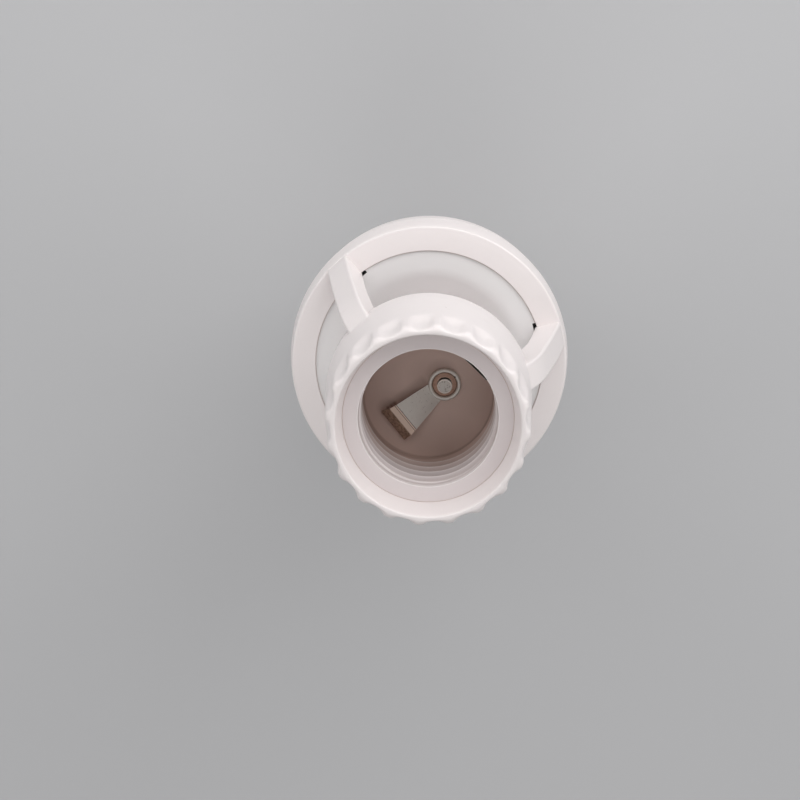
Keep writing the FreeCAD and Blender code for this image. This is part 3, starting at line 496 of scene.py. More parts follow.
# Painted shade in the thread's grooves and painted highlights on its crests.
GROOVE_SHADE = (0.36, 0.27, 0.23)
CREST_LIGHT = (0.93, 0.88, 0.86)
# Brown for scorches and for painted shadow and shade on the floor.
SCORCH_AND_SHADE_BROWN = (0.26, 0.15, 0.11)
# Painted shade in the slot under the floor.
SLOT_SHADE = (0.05, 0.04, 0.035)
MOUTH_SHADE = (0.45, 0.38, 0.36)
MOUTH_LIGHT = (0.98, 0.95, 0.94)
SEAM_BROWN = (0.50, 0.37, 0.30)

# Where the socket's floor is browned round the leaf, part scorch and part painted shadow, with painted shade
# towards one side: middle, reach and strength.
SCORCHES_AND_SHADOWS = (
    ((0.5, 3.2, SOCKET_FLOOR), 4.4, 0.26),
    ((-8.2, -1.0, SOCKET_FLOOR), 2.2, 0.45),
    ((3.2, 3.0, SOCKET_FLOOR), 3.4, 0.60),
    # Painted shadow under the bend at the leaf's free end.
    ((-8.0, -0.95, SOCKET_FLOOR), 0.5, 0.9),
    ((-7.3, -0.75, SOCKET_FLOOR), 0.6, 0.9),
    ((-6.6, -0.45, SOCKET_FLOOR), 0.6, 0.9),
    # Painted shade: the floor darker towards one side.
    ((1.0, -12.0, SOCKET_FLOOR), 8.0, 0.34),
)


def thread_painted_light(paint, tint, height, radius):
    """Painted shade in the grooves of the thread and painted highlights on its crests."""
    thread = paint.band(height, *THREAD_SEEN, 0.3)
    tint = paint.blend(paint.ranged(radius, 12.5, 13.25) * thread * 0.45, tint, GROOVE_SHADE)
    return paint.blend(paint.ranged(radius, 12.27, 12.46, 1.0, 0.0) * thread * 0.7, tint, CREST_LIGHT)


def floor_scorch_and_shade(paint, tint, height, radius):
    """Scorches round the leaf mixed with painted shadow, a brown line along its side that is part stain and
    part painted shadow, and painted shade round the floor's edge and in the slot.
    """
    for centre, reach, share in SCORCHES_AND_SHADOWS:
        tint = paint.blend(paint.spot(centre, reach, 0.1) * share, tint, SCORCH_AND_SHADE_BROWN)
    along, across = paint.contact_axes()
    # Part stain and part painted shadow along the leaf's side.
    stain_and_shadow_beside = paint.ranged(across, 2.2, 3.9, 1.0, 0.0) * paint.ranged(across, 0.5, 1.0)
    stain_and_shadow_beside = stain_and_shadow_beside * paint.band(along, -6.6, 0.9, 0.8)
    stain_and_shadow_beside = stain_and_shadow_beside * paint.ranged(height, SOCKET_FLOOR + 0.2, SOCKET_FLOOR + 0.5, 1.0, 0.0)
    tint = paint.blend(stain_and_shadow_beside * 0.5, tint, SCORCH_AND_SHADE_BROWN)
    # Painted shade in the corner round the floor's edge.
    edge = paint.band(height, SOCKET_FLOOR - 0.3, SOCKET_FLOOR + 0.4, 0.15) * paint.ranged(radius, 11.9, 12.2)
    tint = paint.blend(edge * 0.35, tint, SCORCH_AND_SHADE_BROWN)
    # Painted shade: the slot's walls under the floor are dark.
    slot_wall_shade = paint.band(height, FLOOR_UNDERSIDE - 0.05, SOCKET_FLOOR - 0.06, 0.03)
    return paint.blend(slot_wall_shade * paint.ranged(radius, 12.4, 12.6, 1.0, 0.0), tint, SLOT_SHADE)


def mouth_light_shade_and_seam(paint, tint, height, radius):
    """A painted shade line and a painted highlight line round the insert's mouth, and dirt in the seam round
    the insert.
    """
    mouth = paint.ranged(height, COLLAR_FOOT, COLLAR_FOOT + 0.2)
    tint = paint.blend(paint.band(radius, 12.46, 12.55, 0.05) * mouth * 0.30, tint, MOUTH_SHADE)
    tint = paint.blend(paint.band(radius, 12.60, 12.72, 0.06) * mouth * 0.40, tint, MOUTH_LIGHT)
    return paint.blend(paint.ranged(radius, 15.24, 15.34) * mouth * 0.6, tint, SEAM_BROWN)


def socket_wear_and_painted_light(paint, tint):
    """Browner towards the floor, partly heat tan and partly painted shade of the deep socket; then scorches,
    dirt in the seam and painted light and shade on the thread, the floor, the slot and the mouth.
    """
    height = paint.height()
    radius = paint.radius()
    inside = paint.ranged(height, SOCKET_FLOOR - 0.6, SOCKET_FLOOR - 0.3)
    tint = paint.blend(paint.ranged(height, SOCKET_FLOOR, TAN_AND_SHADE_END, 1.0, 0.0) * inside, tint, SOCKET_TAN_AND_SHADE)
    for wear_and_painted_light in (thread_painted_light, floor_scorch_and_shade, mouth_light_shade_and_seam):
        tint = wear_and_painted_light(paint, tint, height, radius)
    return tint


# Metals

EDGE_HIGHLIGHT = (1.0, 1.0, 0.97)
BEND_REFLECTION = (0.98, 0.80, 0.68)
BEND_SHADE = (0.20, 0.12, 0.09)
BEND_LINES = (-5.62, -5.95)
LEG_REFLECTION = ((0.33, 0.22, 0.165), (0.56, 0.40, 0.30))
# Single dots on the leaf: middle, radius, strength and colour.
LEAF_DOTS = (
    ((-1.29, -2.5, 88.4), 0.22, 0.7, (0.12, 0.09, 0.08)),
    ((5.56, 2.21, 87.15), 0.26, 0.9, (0.03, 0.025, 0.02)),
    ((-7.99, -3.99, 88.3), 0.35, 0.9, (0.04, 0.03, 0.02)),
)
LEAF_NECK_HALF = 1.93
LEAF_NECK_PLACE = LEAF_CENTRE - 2.65
LEAF_FLARE = 0.159


def leaf_half_width(along):
    """Half width of the centre contact's tongue, which flares from the neck to the free end."""
    return LEAF_NECK_HALF + LEAF_FLARE * (LEAF_NECK_PLACE - along)


def plated_sheet(name, color, tarnish, roughness, metallic=1.0, stretch=(1.0, 1.0, 1.0)):
    """Plated metal with fine drawing marks and patches of tarnish."""
    paint = Paint(name)
    marks = paint.noise(900.0, 3.0, stretch)
    patches = paint.ranged(paint.noise(260.0, 4.0), 0.45, 0.75)
    rough = marks + patches * 0.4
    tint = paint.blend(marks * 0.35, color, shade(color, 0.82))
    tint = paint.blend(patches * 0.55, tint, tarnish)
    paint.bump(marks, 0.10, FINE_RUB_DEPTH)
    return paint.set(base_color=tint, metallic=metallic,
                     roughness=paint.ranged(rough, 0.2, 1.1, roughness - 0.06, roughness + 0.14))


def leaf_painted_light(name, color):
    """Matt plated sheet with a painted highlight along its edges, a painted reflection on the bend, painted
    shade lines along the bends and a dark painted reflection on the bent-over end.
    """
    paint = Paint(name)
    along, aside = paint.contact_axes()
    across = aside - LEAF_SHIFT
    cloud = paint.noise(500.0, 4.0)
    marks = paint.noise(2200.0)
    tint = paint.blend(cloud * 0.5, color, shade(color, 0.86))
    tint = paint.blend(paint.ranged(marks, 0.62, 0.72) * 0.3, tint, (0.30, 0.24, 0.20))
    # Painted highlight along the leaf's edges.
    width = leaf_half_width(along)
    edge = paint.ranged(across * across - width * width, -0.55, -0.12)
    edge = edge * paint.ranged(along, 0.2, 0.8, 1.0, 0.0)
    tint = paint.blend(edge * 0.9, tint, EDGE_HIGHLIGHT)
    # Painted reflection on the bend.
    bent = paint.ranged(along, -5.75, -5.55, 1.0, 0.0)
    tint = paint.blend(bent, tint, BEND_REFLECTION)
    for line in BEND_LINES:
        tint = paint.blend(paint.band(along, line - 0.04, line + 0.04, 0.05) * 0.75, tint, BEND_SHADE)
    # Painted dark reflection on the bent-over end.
    end_reflection = paint.blend(paint.ranged(marks, 0.40, 0.62), *LEG_REFLECTION)
    tint = paint.blend(paint.ranged(along, -7.15, -6.95, 1.0, 0.0), tint, end_reflection)
    for centre, radius, share, dot in LEAF_DOTS:
        tint = paint.blend(paint.spot(centre, radius) * share, tint, dot)
    paint.bump(marks, 0.10, FINE_RUB_DEPTH)
    return paint.set(base_color=tint, metallic=paint.ranged(bent, 0.0, 1.0, 0.45, 0.05),
                     roughness=paint.ranged(cloud, 0.2, 0.8, 0.44, 0.58))


def riveted(name, color, centre, pits, painted_rings):
    """Metal round the rivet: pitted, with painted rings of highlight and shade. A ring is two radii, a share
    and a colour.
    """
    paint = Paint(name)
    reach = paint.distance(centre)
    grain = paint.noise(2600.0, 3.0)
    tint = paint.blend(paint.noise(700.0, 3.0) * 0.5, color, shade(color, 0.8))
    tint = paint.blend(paint.ranged(grain, 0.54, 0.64) * 0.6, tint, pits)
    for low, high, share, ring in painted_rings:
        tint = paint.blend(paint.band(reach, low, high, 0.06) * share, tint, ring)
    paint.bump(grain, 0.25, RUB_DEPTH)
    return paint.set(base_color=tint, metallic=0.15, roughness=paint.ranged(grain, 0.3, 0.7, 0.40, 0.56))


def plain_finish(name, color, roughness, metallic=0.0):
    """Finish of the small parts inside: one colour with a light unevenness."""
    paint = Paint(name)
    cloud = paint.noise(300.0, 3.0)
    paint.bump(paint.noise(1500.0), 0.15, 0.00003)
    return paint.set(base_color=paint.blend(cloud, color, shade(color, 0.8)), metallic=metallic,
                     roughness=paint.ranged(cloud, 0.2, 0.8, roughness - 0.05, roughness + 0.1))


def dress(obj, material):
    """Gives an object one material."""
    obj.data.materials.clear()
    obj.data.materials.append(material)


def place_piece(obj, node, material):
    """Finishes a rigid piece that stands for a CAD node."""
    dress(obj, material)
    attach(obj, HOLDER)
    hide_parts(node)


# Settings in the sidebar

class HolderSizes(bpy.types.PropertyGroup):
    """Sizes of the details that only the looks have"""
    flute_depth: bpy.props.FloatProperty(
        name="Flute depth", description="Depth of a flute in the rim", default=0.84 * MM, min=0.0,
        subtype="DISTANCE", unit="LENGTH")
    edge_round: bpy.props.FloatProperty(
        name="Edge rounding", description="Rounding of the arms' edges", default=0.45 * MM, min=0.0,
        subtype="DISTANCE", unit="LENGTH")
    leaf_thickness: bpy.props.FloatProperty(
        name="Contact sheet", description="Thickness of both contacts", default=0.42 * MM, min=0.0,
        subtype="DISTANCE", unit="LENGTH")


class HolderColours(bpy.types.PropertyGroup):
    """Colours of the main finishes"""
    housing: bpy.props.FloatVectorProperty(
        name="Housing", description="White moulding", default=(0.76, 0.707, 0.70), size=3, min=0.0, max=1.0,
        subtype="COLOR")
    window: bpy.props.FloatVectorProperty(
        name="Window", description="Sensor window", default=(0.712, 0.694, 0.69), size=3, min=0.0, max=1.0,
        subtype="COLOR")
    insert: bpy.props.FloatVectorProperty(
        name="Insert", description="Socket insert", default=(0.73, 0.665, 0.662), size=3, min=0.0, max=1.0,
        subtype="COLOR")
    contact: bpy.props.FloatVectorProperty(
        name="Contact", description="Contact sheet", default=(0.88, 0.865, 0.815), size=3, min=0.0, max=1.0,
        subtype="COLOR")
    floor: bpy.props.FloatVectorProperty(
        name="Floor", description="Floor of the stage", default=(0.455, 0.455, 0.463), size=3, min=0.0, max=1.0,
        subtype="COLOR")


class HolderSettings(bpy.types.PropertyGroup):
    """All settings of the lamp holder"""
    sizes: bpy.props.PointerProperty(name="Sizes", description="Detail sizes", type=HolderSizes)
    colours: bpy.props.PointerProperty(name="Colours", description="Finish colours", type=HolderColours)


# Front moulding

FLUTES = 20
COLUMNS_PER_FLUTE = 16
FUNNEL_OUTLINE = [
    (15.4, INSERT_FACE), (15.55, 108.3), (16.28, 113.4, 0.35), (16.5, 113.93, 0.25), (17.1, MOUTH),
]
LIP_EDGE = 17.1
LIP_ROWS = [(17.45, 113.86), (17.82, 113.62), (18.08, 113.28), (18.19, 112.9)]
CREST_RADIUS, LIP_FOOT = LIP_ROWS[-1]
FLUTE_ROWS = (112.4, 111.7, 110.9, 110.1, 109.4, 108.8, 108.2, 107.6, 107.0, 106.4, 105.8, 105.2, 104.6)
PLAIN_ROWS = (103.8, 101.0, 97.5, 94.0, 90.5)
BARREL_REAR = 19.35
BARREL_BORE = 16.9
FLUTE_FULL = 109.8
FLUTE_END = 104.6
FLUTE_CUTTER = 4.0
FLUTE_BLEND = 0.04


def barrel_radius(height):
    """Outer radius of the plain barrel, which widens to the rear."""
    return CREST_RADIUS + (LIP_FOOT - height) * (BARREL_REAR - CREST_RADIUS) / (LIP_FOOT - BARREL_END)


def flute_share(azimuth, depth):
    """How deep a flute is at an azimuth from its middle, as a share of its depth."""
    centre = CREST_RADIUS - depth + FLUTE_CUTTER
    across = centre * math.sin(math.radians(azimuth))
    if across >= FLUTE_CUTTER:
        return 0.0
    radius = centre * math.cos(math.radians(azimuth)) - math.sqrt(FLUTE_CUTTER ** 2 - across ** 2)
    cut = CREST_RADIUS - radius
    return max(0.0, cut + math.hypot(cut, FLUTE_BLEND) - FLUTE_BLEND) / 2.0 / depth


def flute_strength(height):
    """Share of the depth at a height: full at the mouth, fading out to a rounded end."""
    if height >= FLUTE_FULL:
        return 1.0
    fall = min(1.0, (FLUTE_FULL - height) / (FLUTE_FULL - FLUTE_END))
    return 0.5 + 0.5 * math.cos(math.pi * fall ** 1.4)


def shape_flutes(obj, depth):
    """Pulls the barrel's outer rows inwards in the flutes, one column of all flutes at a time."""
    bpy.ops.object.mode_set(mode="EDIT")
    mesh = bmesh.from_edit_mesh(obj.data)
    rows = {}
    for radius, height in LIP_ROWS:
        rows[height] = (radius, depth * (radius - LIP_EDGE) / (CREST_RADIUS - LIP_EDGE))
    for height in FLUTE_ROWS:
        rows[height] = (barrel_radius(height), depth * flute_strength(height))
    pitch = 360.0 / FLUTES
    groups = {}
    for vertex in mesh.verts:
        place = vertex.co / MM
        radius = math.hypot(place.x, place.y)
        for height, (row_radius, _) in rows.items():
            if abs(place.z - height) < 0.01 and abs(radius - row_radius) < 0.01:
                azimuth = math.degrees(math.atan2(place.y, place.x)) % pitch
                phase = round(abs(azimuth - pitch / 2.0), 3)
                groups.setdefault((height, phase), []).append(vertex)
    for (height, phase), members in groups.items():
        row_radius, reach = rows[height]
        share = 1.0 - reach * flute_share(phase, depth) / row_radius
        if share > 0.9999:
            continue
        bpy.ops.mesh.select_all(action="DESELECT")
        for vertex in members:
            vertex.select = True
        bmesh.update_edit_mesh(obj.data)
        bpy.ops.transform.resize(value=(share, share, 1.0), center_override=(0.0, 0.0, 0.0))
    bpy.ops.object.mode_set(mode="OBJECT")


def make_barrel(depth):
    """Barrel with its funnel mouth, ledge and bore, fluted round the rim."""
    outline = rounded(FUNNEL_OUTLINE) + LIP_ROWS
    outline += [(barrel_radius(height), height) for height in FLUTE_ROWS + PLAIN_ROWS]
    rear = rounded([(18.9, 103.5), (BARREL_REAR, BARREL_END, 0.35), (BARREL_BORE, BARREL_END, 0.15),
                    (BARREL_BORE, 105.9), (15.4, 105.9)])
    obj = turned("barrel", outline + rear[1:], FLUTES * COLUMNS_PER_FLUTE)
    shape_flutes(obj, depth)
    return obj


# The arm's two long edges seen from the side, each from the barrel down to the ring.
ARM_OUTER = [
    (18.7, 93.2), (19.12, 91.5), (19.75, 90.2), (20.55, 88.7), (21.5, 86.2), (22.55, 82.8), (23.35, 78.9),
    (24.1, 75.2), (24.9, 71.6), (25.6, 67.6), (26.3, 63.6), (26.9, 60.2), (27.35, 57.4), (27.4, 56.0),
]
ARM_INNER = [
    (17.2, 93.2), (17.1, 91.5), (17.05, 90.2), (17.0, 88.7), (17.0, 86.2), (17.05, 82.9), (17.6, 79.6),
    (18.6, 75.9), (19.9, 71.7), (20.7, 67.6), (21.3, 63.7), (21.8, 60.4), (22.1, 57.6), (22.2, 56.0),
]
ARM_HALF_WIDTH = 2.5


def place_vertex(obj, vertex, place):
    """Moves one vertex in edit mode to a place in millimetres."""
    bpy.ops.mesh.select_all(action="DESELECT")
    vertex.select = True
    bmesh.update_edit_mesh(obj.data)
    bpy.ops.transform.translate(value=Vector(place) * MM - vertex.co)


def make_arm(edge_round):
    """One arm: a side outline drawn as a strip, extruded across and with its long edges rounded."""
    obj = begin_edge("arm")
    for number, corners in enumerate(zip(ARM_OUTER, ARM_INNER)):
        if number:
            bpy.ops.mesh.select_all(action="DESELECT")
            mesh = bmesh.from_edit_mesh(obj.data)
            for vertex in sorted(mesh.verts, key=lambda vertex: vertex.co.z)[:2]:
                vertex.select = True
            mesh.select_flush(True)
            bmesh.update_edit_mesh(obj.data)
            bpy.ops.mesh.extrude_edges_move(TRANSFORM_OT_translate={"value": (0.0, 0.0, -MM)})
        mesh = bmesh.from_edit_mesh(obj.data)
        ends = sorted((vertex for vertex in mesh.verts if vertex.select), key=lambda vertex: -vertex.co.x)
        for vertex, (across, up) in zip(ends, corners):
            place_vertex(obj, vertex, (across, -ARM_HALF_WIDTH, up))
    bpy.ops.mesh.select_all(action="SELECT")
    bpy.ops.mesh.extrude_region_move(TRANSFORM_OT_translate={"value": (0.0, 2.0 * ARM_HALF_WIDTH * MM, 0.0)})
    finish_mesh(obj)
    modify(obj, "BEVEL", width=edge_round, segments=4, limit_method="ANGLE", angle_limit=math.radians(60.0))
    return finish_mesh(obj, 40.0)


# Outer ring: sloping front face, rounded edges, flaring side wall and the bore for the rear spigot.
RING_OUTLINE = [
    (22.8, RING_FACE, 0.10), (27.57, 56.7, 0.55), (27.95, 53.4), (28.2, 50.35, 0.3), (28.0, RING_JOINT, 0.12),
    (26.0, RING_JOINT), (26.0, 52.3), (25.4, 55.3), (22.8, 55.3),
]
# Flecks of dirt: middle and radius.
HOUSING_SPECKS = (
    ((-11.89, 15.07, 90.4), 0.24),
    ((-6.89, 17.97, 89.19), 0.18),
    ((7.16, 17.43, 98.22), 0.16),
)
HOUSING_ROUGHNESS = 0.36


class LAMPHOLDER_OT_front_moulding(bpy.types.Operator):
    """Models the front moulding: fluted barrel, three arms and outer ring"""
    bl_idname = "lampholder.front_moulding"
    bl_label = "Front Moulding"

    def execute(self, context):
        settings = context.scene.lamp_holder
        barrel = make_barrel(settings.sizes.flute_depth / MM)
        arm = make_arm(settings.sizes.edge_round)
        arms = [copy_turned(arm, azimuth) for azimuth in ARM_AZIMUTHS[1:]]
        ring = turned("ring", rounded(RING_OUTLINE), FINE_STEPS)
        moulding = join(barrel, [arm, *arms, ring])
        moulding.name = moulding.data.name = "front_moulding"
        material = moulded_plastic("white_moulding", settings.colours.housing, HOUSING_ROUGHNESS,
                                   HOUSING_SPECKS, bore_painted_shade)
        place_piece(moulding, "front_housing", material)
        return {"FINISHED"}


# Sensor window

WINDOW_OUTLINE = [
    (12.15, 53.0), (12.15, 54.5, 0.2), (13.6, 54.5, 1.5), (18.3, 57.05, 5.0), (22.79, WINDOW_FACE, 0.03),
    (22.79, 55.28), (25.3, 55.28, 0.1), (25.3, 53.8, 0.1), (20.1, 53.8, 0.5), (14.4, 53.0, 0.6),
]
NOTCH = ((21.9, -3.35, 55.0), (26.5, 3.35, 58.5))


class LAMPHOLDER_OT_window(bpy.types.Operator):
    """Models the milky sensor window with its dish and notches"""
    bl_idname = "lampholder.window"
    bl_label = "Sensor Window"

    def execute(self, context):
        window = turned("sensor_window", rounded(WINDOW_OUTLINE), FINE_STEPS)
        for azimuth in ARM_AZIMUTHS:
            combine(window, turn(box("notch", *NOTCH), azimuth))
        finish_mesh(window, recalculate=False)
        material = milky_plastic("milky_window", tuple(context.scene.lamp_holder.colours.window))
        place_piece(window, "lens_ring", material)
        return {"FINISHED"}


# Socket insert

INSERT_OUTLINE = [
    (0.0, 107.1), (12.0, 107.1), (15.39, INSERT_FACE, 0.04), (15.39, 105.9), (16.78, 105.9, 0.2),
    (16.78, 103.9, 0.2), (15.1, 103.9), (15.1, 88.9), (16.78, 88.9, 0.2), (16.78, BARREL_END, 0.3),
    (12.7, FLOOR_UNDERSIDE, 1.2), (12.7, 54.5, 0.2), (11.9, 54.5), (11.9, 53.0, 0.2), (11.3, 53.0, 0.2),
    (11.3, 82.2), (11.8, 82.4), (11.8, FLOOR_UNDERSIDE), (0.0, FLOOR_UNDERSIDE),
]
# The cutter that opens the thread at the mouth, with a collar under the insert's face.
LEAD_IN_OUTLINE = [
    (0.0, 110.0), (12.62, 110.0), (12.62, 107.16, 0.02), (12.5, COLLAR_FOOT), (12.32, 104.75),
    (11.9, 102.6), (0.0, 102.6),
]
CORE_RADIUS = 13.35
CREST_HEIGHT = 105.783
SLOT = ((9.5, -5.9, 83.0), (13.9, 3.6, 99.5))
SLOT_AZIMUTH = 32.7
RIVET_HOLE = [(0.0, 82.0), (1.46, 82.0), (1.46, 88.0), (0.0, 88.0)]
RIVET_HOLE_STEPS = 48
INSERT_SPECKS = (((4.62, -11.62, 104.03), 0.16),)


def contact_place(along, across):
    """A place along and across the contacts' line, in millimetres."""
    azimuth = math.radians(CONTACT_AZIMUTH)
    return (
        along * math.cos(azimuth) - across * math.sin(azimuth),
        along * math.sin(azimuth) + across * math.cos(azimuth),
    )


def sharpen_floor(insert):
    """Marks the edge of the socket's floor as sharp, so that the floor is shaded flat."""
    select_only(insert)
    bpy.ops.object.mode_set(mode="EDIT")
    bpy.ops.mesh.select_mode(type="FACE")
    pick(insert, lambda place: abs(place.z - SOCKET_FLOOR) < 0.01, faces=True)
    bpy.ops.mesh.region_to_loop()
    bpy.ops.mesh.mark_sharp()
    bpy.ops.mesh.select_mode(type="VERT")
    bpy.ops.object.mode_set(mode="OBJECT")


class LAMPHOLDER_OT_insert(bpy.types.Operator):
    """Models the socket insert with its lamp thread, floor and contact slot"""
    bl_idname = "lampholder.insert"
    bl_label = "Socket Insert"

    def execute(self, context):
        insert = turned("socket_thread_insert", rounded(INSERT_OUTLINE))
        core = threaded_rod("thread_core", CORE_RADIUS, CREST_HEIGHT + THREAD_PITCH / 2.0,
                            SOCKET_FLOOR, COLLAR_FOOT, keen_thread)
        combine(insert, core)
        combine(insert, turned("lead_in", rounded(LEAD_IN_OUTLINE)))
        combine(insert, turn(box("slot", *SLOT), SLOT_AZIMUTH))
        hole = turned("rivet_hole", RIVET_HOLE, RIVET_HOLE_STEPS, closed=False)
        turn(hole, 0.0, (*contact_place(LEAF_CENTRE, LEAF_SHIFT), 0.0))
        combine(insert, hole)
        finish_mesh(insert, 40.0, recalculate=False)
        sharpen_floor(insert)
        material = moulded_plastic("white_insert", context.scene.lamp_holder.colours.insert, 0.42,
                                   INSERT_SPECKS, socket_wear_and_painted_light)
        place_piece(insert, "socket_insert", material)
        return {"FINISHED"}


# Contacts. Their outlines are drawn on the contacts' line, with heights over the socket's floor.

LEAF_HEAD_OUTLINE = [
    (2.35, 0.05), (2.35, 0.5, 0.05), (2.5, 0.78, 0.12), (2.85, 0.8, 0.12), (3.07, 0.55, 0.12), (3.07, 0.04),
]
DISH_OUTLINE = [
    (1.4, 0.05), (1.4, 0.34, 0.05), (1.56, 0.38, 0.05), (2.2, 0.20, 0.1), (2.4, 0.16), (2.4, 0.05),
]
RIVET_OUTLINE = [
    (0.0, 0.52), (1.1, 0.52, 0.1), (1.18, 0.62, 0.06), (1.38, 0.62, 0.08), (1.43, 0.5, 0.06), (1.2, 0.1),
    (1.1, -3.02), (1.42, -3.05, 0.1), (1.42, -3.8, 0.3), (0.0, -3.8),
]
# The rivet sits a little off the middle of the leaf's head, along the contacts' line and across it.
RIVET_OFFSET = (-0.18, -0.23)
# Painted highlight round the rivet's edge; round the dish a painted shadow ring inside its rim and a painted
# highlight at its hole.
RIVET_HIGHLIGHT_RING = ((1.14, 1.4, 0.9, (1.0, 0.96, 0.90)),)
DISH_SHADOW_AND_HIGHLIGHT = ((2.2, 2.4, 0.8, (0.12, 0.07, 0.05)), (1.4, 1.52, 0.5, (0.80, 0.60, 0.5)))
SIDE_PATH = [
    (5.4, -3.02), (10.95, -3.02, 0.5), (10.95, 0.1, 2.0), (12.75, 3.3, 2.5), (12.1, 9.5, 1.2), (12.8, 11.8),
]
SIDE_HALF_WIDTH = 2.5


def contact_point(along, across, up):
    """A place on the contacts' line, above the socket's floor, in metres."""
    return tuple(Vector((*contact_place(along, across), SOCKET_FLOOR + up)) * MM)


def lift_contact(obj, across):
    """Brings a contact piece from its own axes to its place on the socket's floor."""
    origin = Vector(contact_point(0.0, across, 0.0)) / MM
    turn(obj, CONTACT_AZIMUTH, origin)


def make_leaf(sheet):
    """Centre leaf: a flared, bent tongue and a round head with a raised rim."""
    path = rounded([(LEAF_CENTRE - 2.5, sheet), (0.6, sheet, 3.0), (-5.7, 3.06, 0.5), (-7.05, 3.08, 0.4),
                    (-8.92, 1.15)])
    tongue = strip("centre_leaf", path, leaf_half_width, sheet)
    head = turned("leaf_head", rounded(LEAF_HEAD_OUTLINE), SMALL_STEPS)
    turn(head, 0.0, (LEAF_CENTRE, 0.0, 0.0))
    leaf = join(tongue, [head])
    lift_contact(leaf, LEAF_SHIFT)
    return leaf


def make_rivet_piece(name, outline, offset, material):
    """A turned piece of the rivet, on the leaf's head."""
    obj = turned(name, rounded(outline), SMALL_STEPS)
    turn(obj, 0.0, (LEAF_CENTRE + offset[0], offset[1], 0.0))
    lift_contact(obj, LEAF_SHIFT)
    place_piece(obj, "centre_rivet", material)


def place_sprung(obj, node, material):
    """Finishes a contact: gives it its material, hides its CAD node and bakes its place into its mesh."""
    dress(obj, material)
    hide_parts(node)
    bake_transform(obj)


class LAMPHOLDER_OT_contacts(bpy.types.Operator):
    """Models the centre leaf with its rivet and the side strip"""
    bl_idname = "lampholder.contacts"
    bl_label = "Contacts"

    def execute(self, context):
        settings = context.scene.lamp_holder
        sheet = settings.sizes.leaf_thickness / MM
        colour = tuple(settings.colours.contact)
        metal = plated_sheet("plated_contact", colour, (0.42, 0.33, 0.27), 0.46, metallic=0.55)
        rivet_place = contact_place(LEAF_CENTRE + RIVET_OFFSET[0], LEAF_SHIFT + RIVET_OFFSET[1])
        coin = riveted("rivet_metal", colour, (*rivet_place, 87.05), (0.40, 0.34, 0.30), RIVET_HIGHLIGHT_RING)
        leaf_finish = leaf_painted_light("leaf_painted_light", colour)
        head_place = contact_place(LEAF_CENTRE, LEAF_SHIFT)
        # The dish's brown is a painted reflection of its brown surroundings.
        dish_reflection = riveted("dish_brown_reflection", (0.62, 0.40, 0.305), (*head_place, 86.7), (0.42, 0.25, 0.18),
                        DISH_SHADOW_AND_HIGHLIGHT)

        place_sprung(make_leaf(sheet), "centre_contact", leaf_finish)
        make_rivet_piece("head_dish", DISH_OUTLINE, (0.0, 0.0), dish_reflection)
        make_rivet_piece("centre_rivet_head", RIVET_OUTLINE, RIVET_OFFSET, coin)

        side = strip("side_strip", rounded(SIDE_PATH), lambda across: SIDE_HALF_WIDTH, sheet)
        lift_contact(side, 0.0)
        place_sprung(side, "side_contact", metal)
        return {"FINISHED"}


# Rear housing

DOME_CENTRE = 41.5
DOME_STEPS = 12
# Outer and inner curve of the dome: radius at its foot, how far it widens, and its depth.
DOME_OUTER = (16.2, 11.3, 13.0)
DOME_INNER = (15.4, 9.9, 10.8)
HOUSING_COLLAR = [(12.85, HOUSING_FLOOR), (15.6, HOUSING_FLOOR, 0.5), (15.75, 28.0)]
HOUSING_SPIGOT = [
    (27.5, 43.0), (28.2, 49.6, 0.3), (28.0, 49.95, 0.15), (25.85, 49.95), (25.85, 52.0, 0.3),
    (24.35, 52.0, 0.2), (24.35, 46.0), (22.95, 46.0), (22.95, 44.6), (25.3, 43.6),
]
HOUSING_BORE = [(12.3, 30.7), (12.3, 28.0), (12.85, 28.0)]


def dome_curve(foot, widening, depth, outwards):
    """Quarter of an ellipse in the dome's wall, drawn from its foot outwards or back from its edge."""
    points = []
    for step in range(DOME_STEPS + 1):
        angle = math.radians(90.0 * (step if outwards else DOME_STEPS - step) / DOME_STEPS)
        points.append((foot + widening * math.sin(angle), DOME_CENTRE - depth * math.cos(angle)))
    return points


class LAMPHOLDER_OT_rear_housing(bpy.types.Operator):
    """Models the domed rear housing with its collar"""
    bl_idname = "lampholder.rear_housing"
    bl_label = "Rear Housing"

    def execute(self, context):
        outline = rounded(HOUSING_COLLAR) + dome_curve(*DOME_OUTER, True)
        outline += rounded(HOUSING_SPIGOT) + dome_curve(*DOME_INNER, False) + HOUSING_BORE
        housing = turned("rear_shell", outline, FINE_STEPS)
        material = moulded_plastic("white_rear", context.scene.lamp_holder.colours.housing, HOUSING_ROUGHNESS)
        place_piece(housing, "rear_housing", material)
        return {"FINISHED"}


# Screw cap

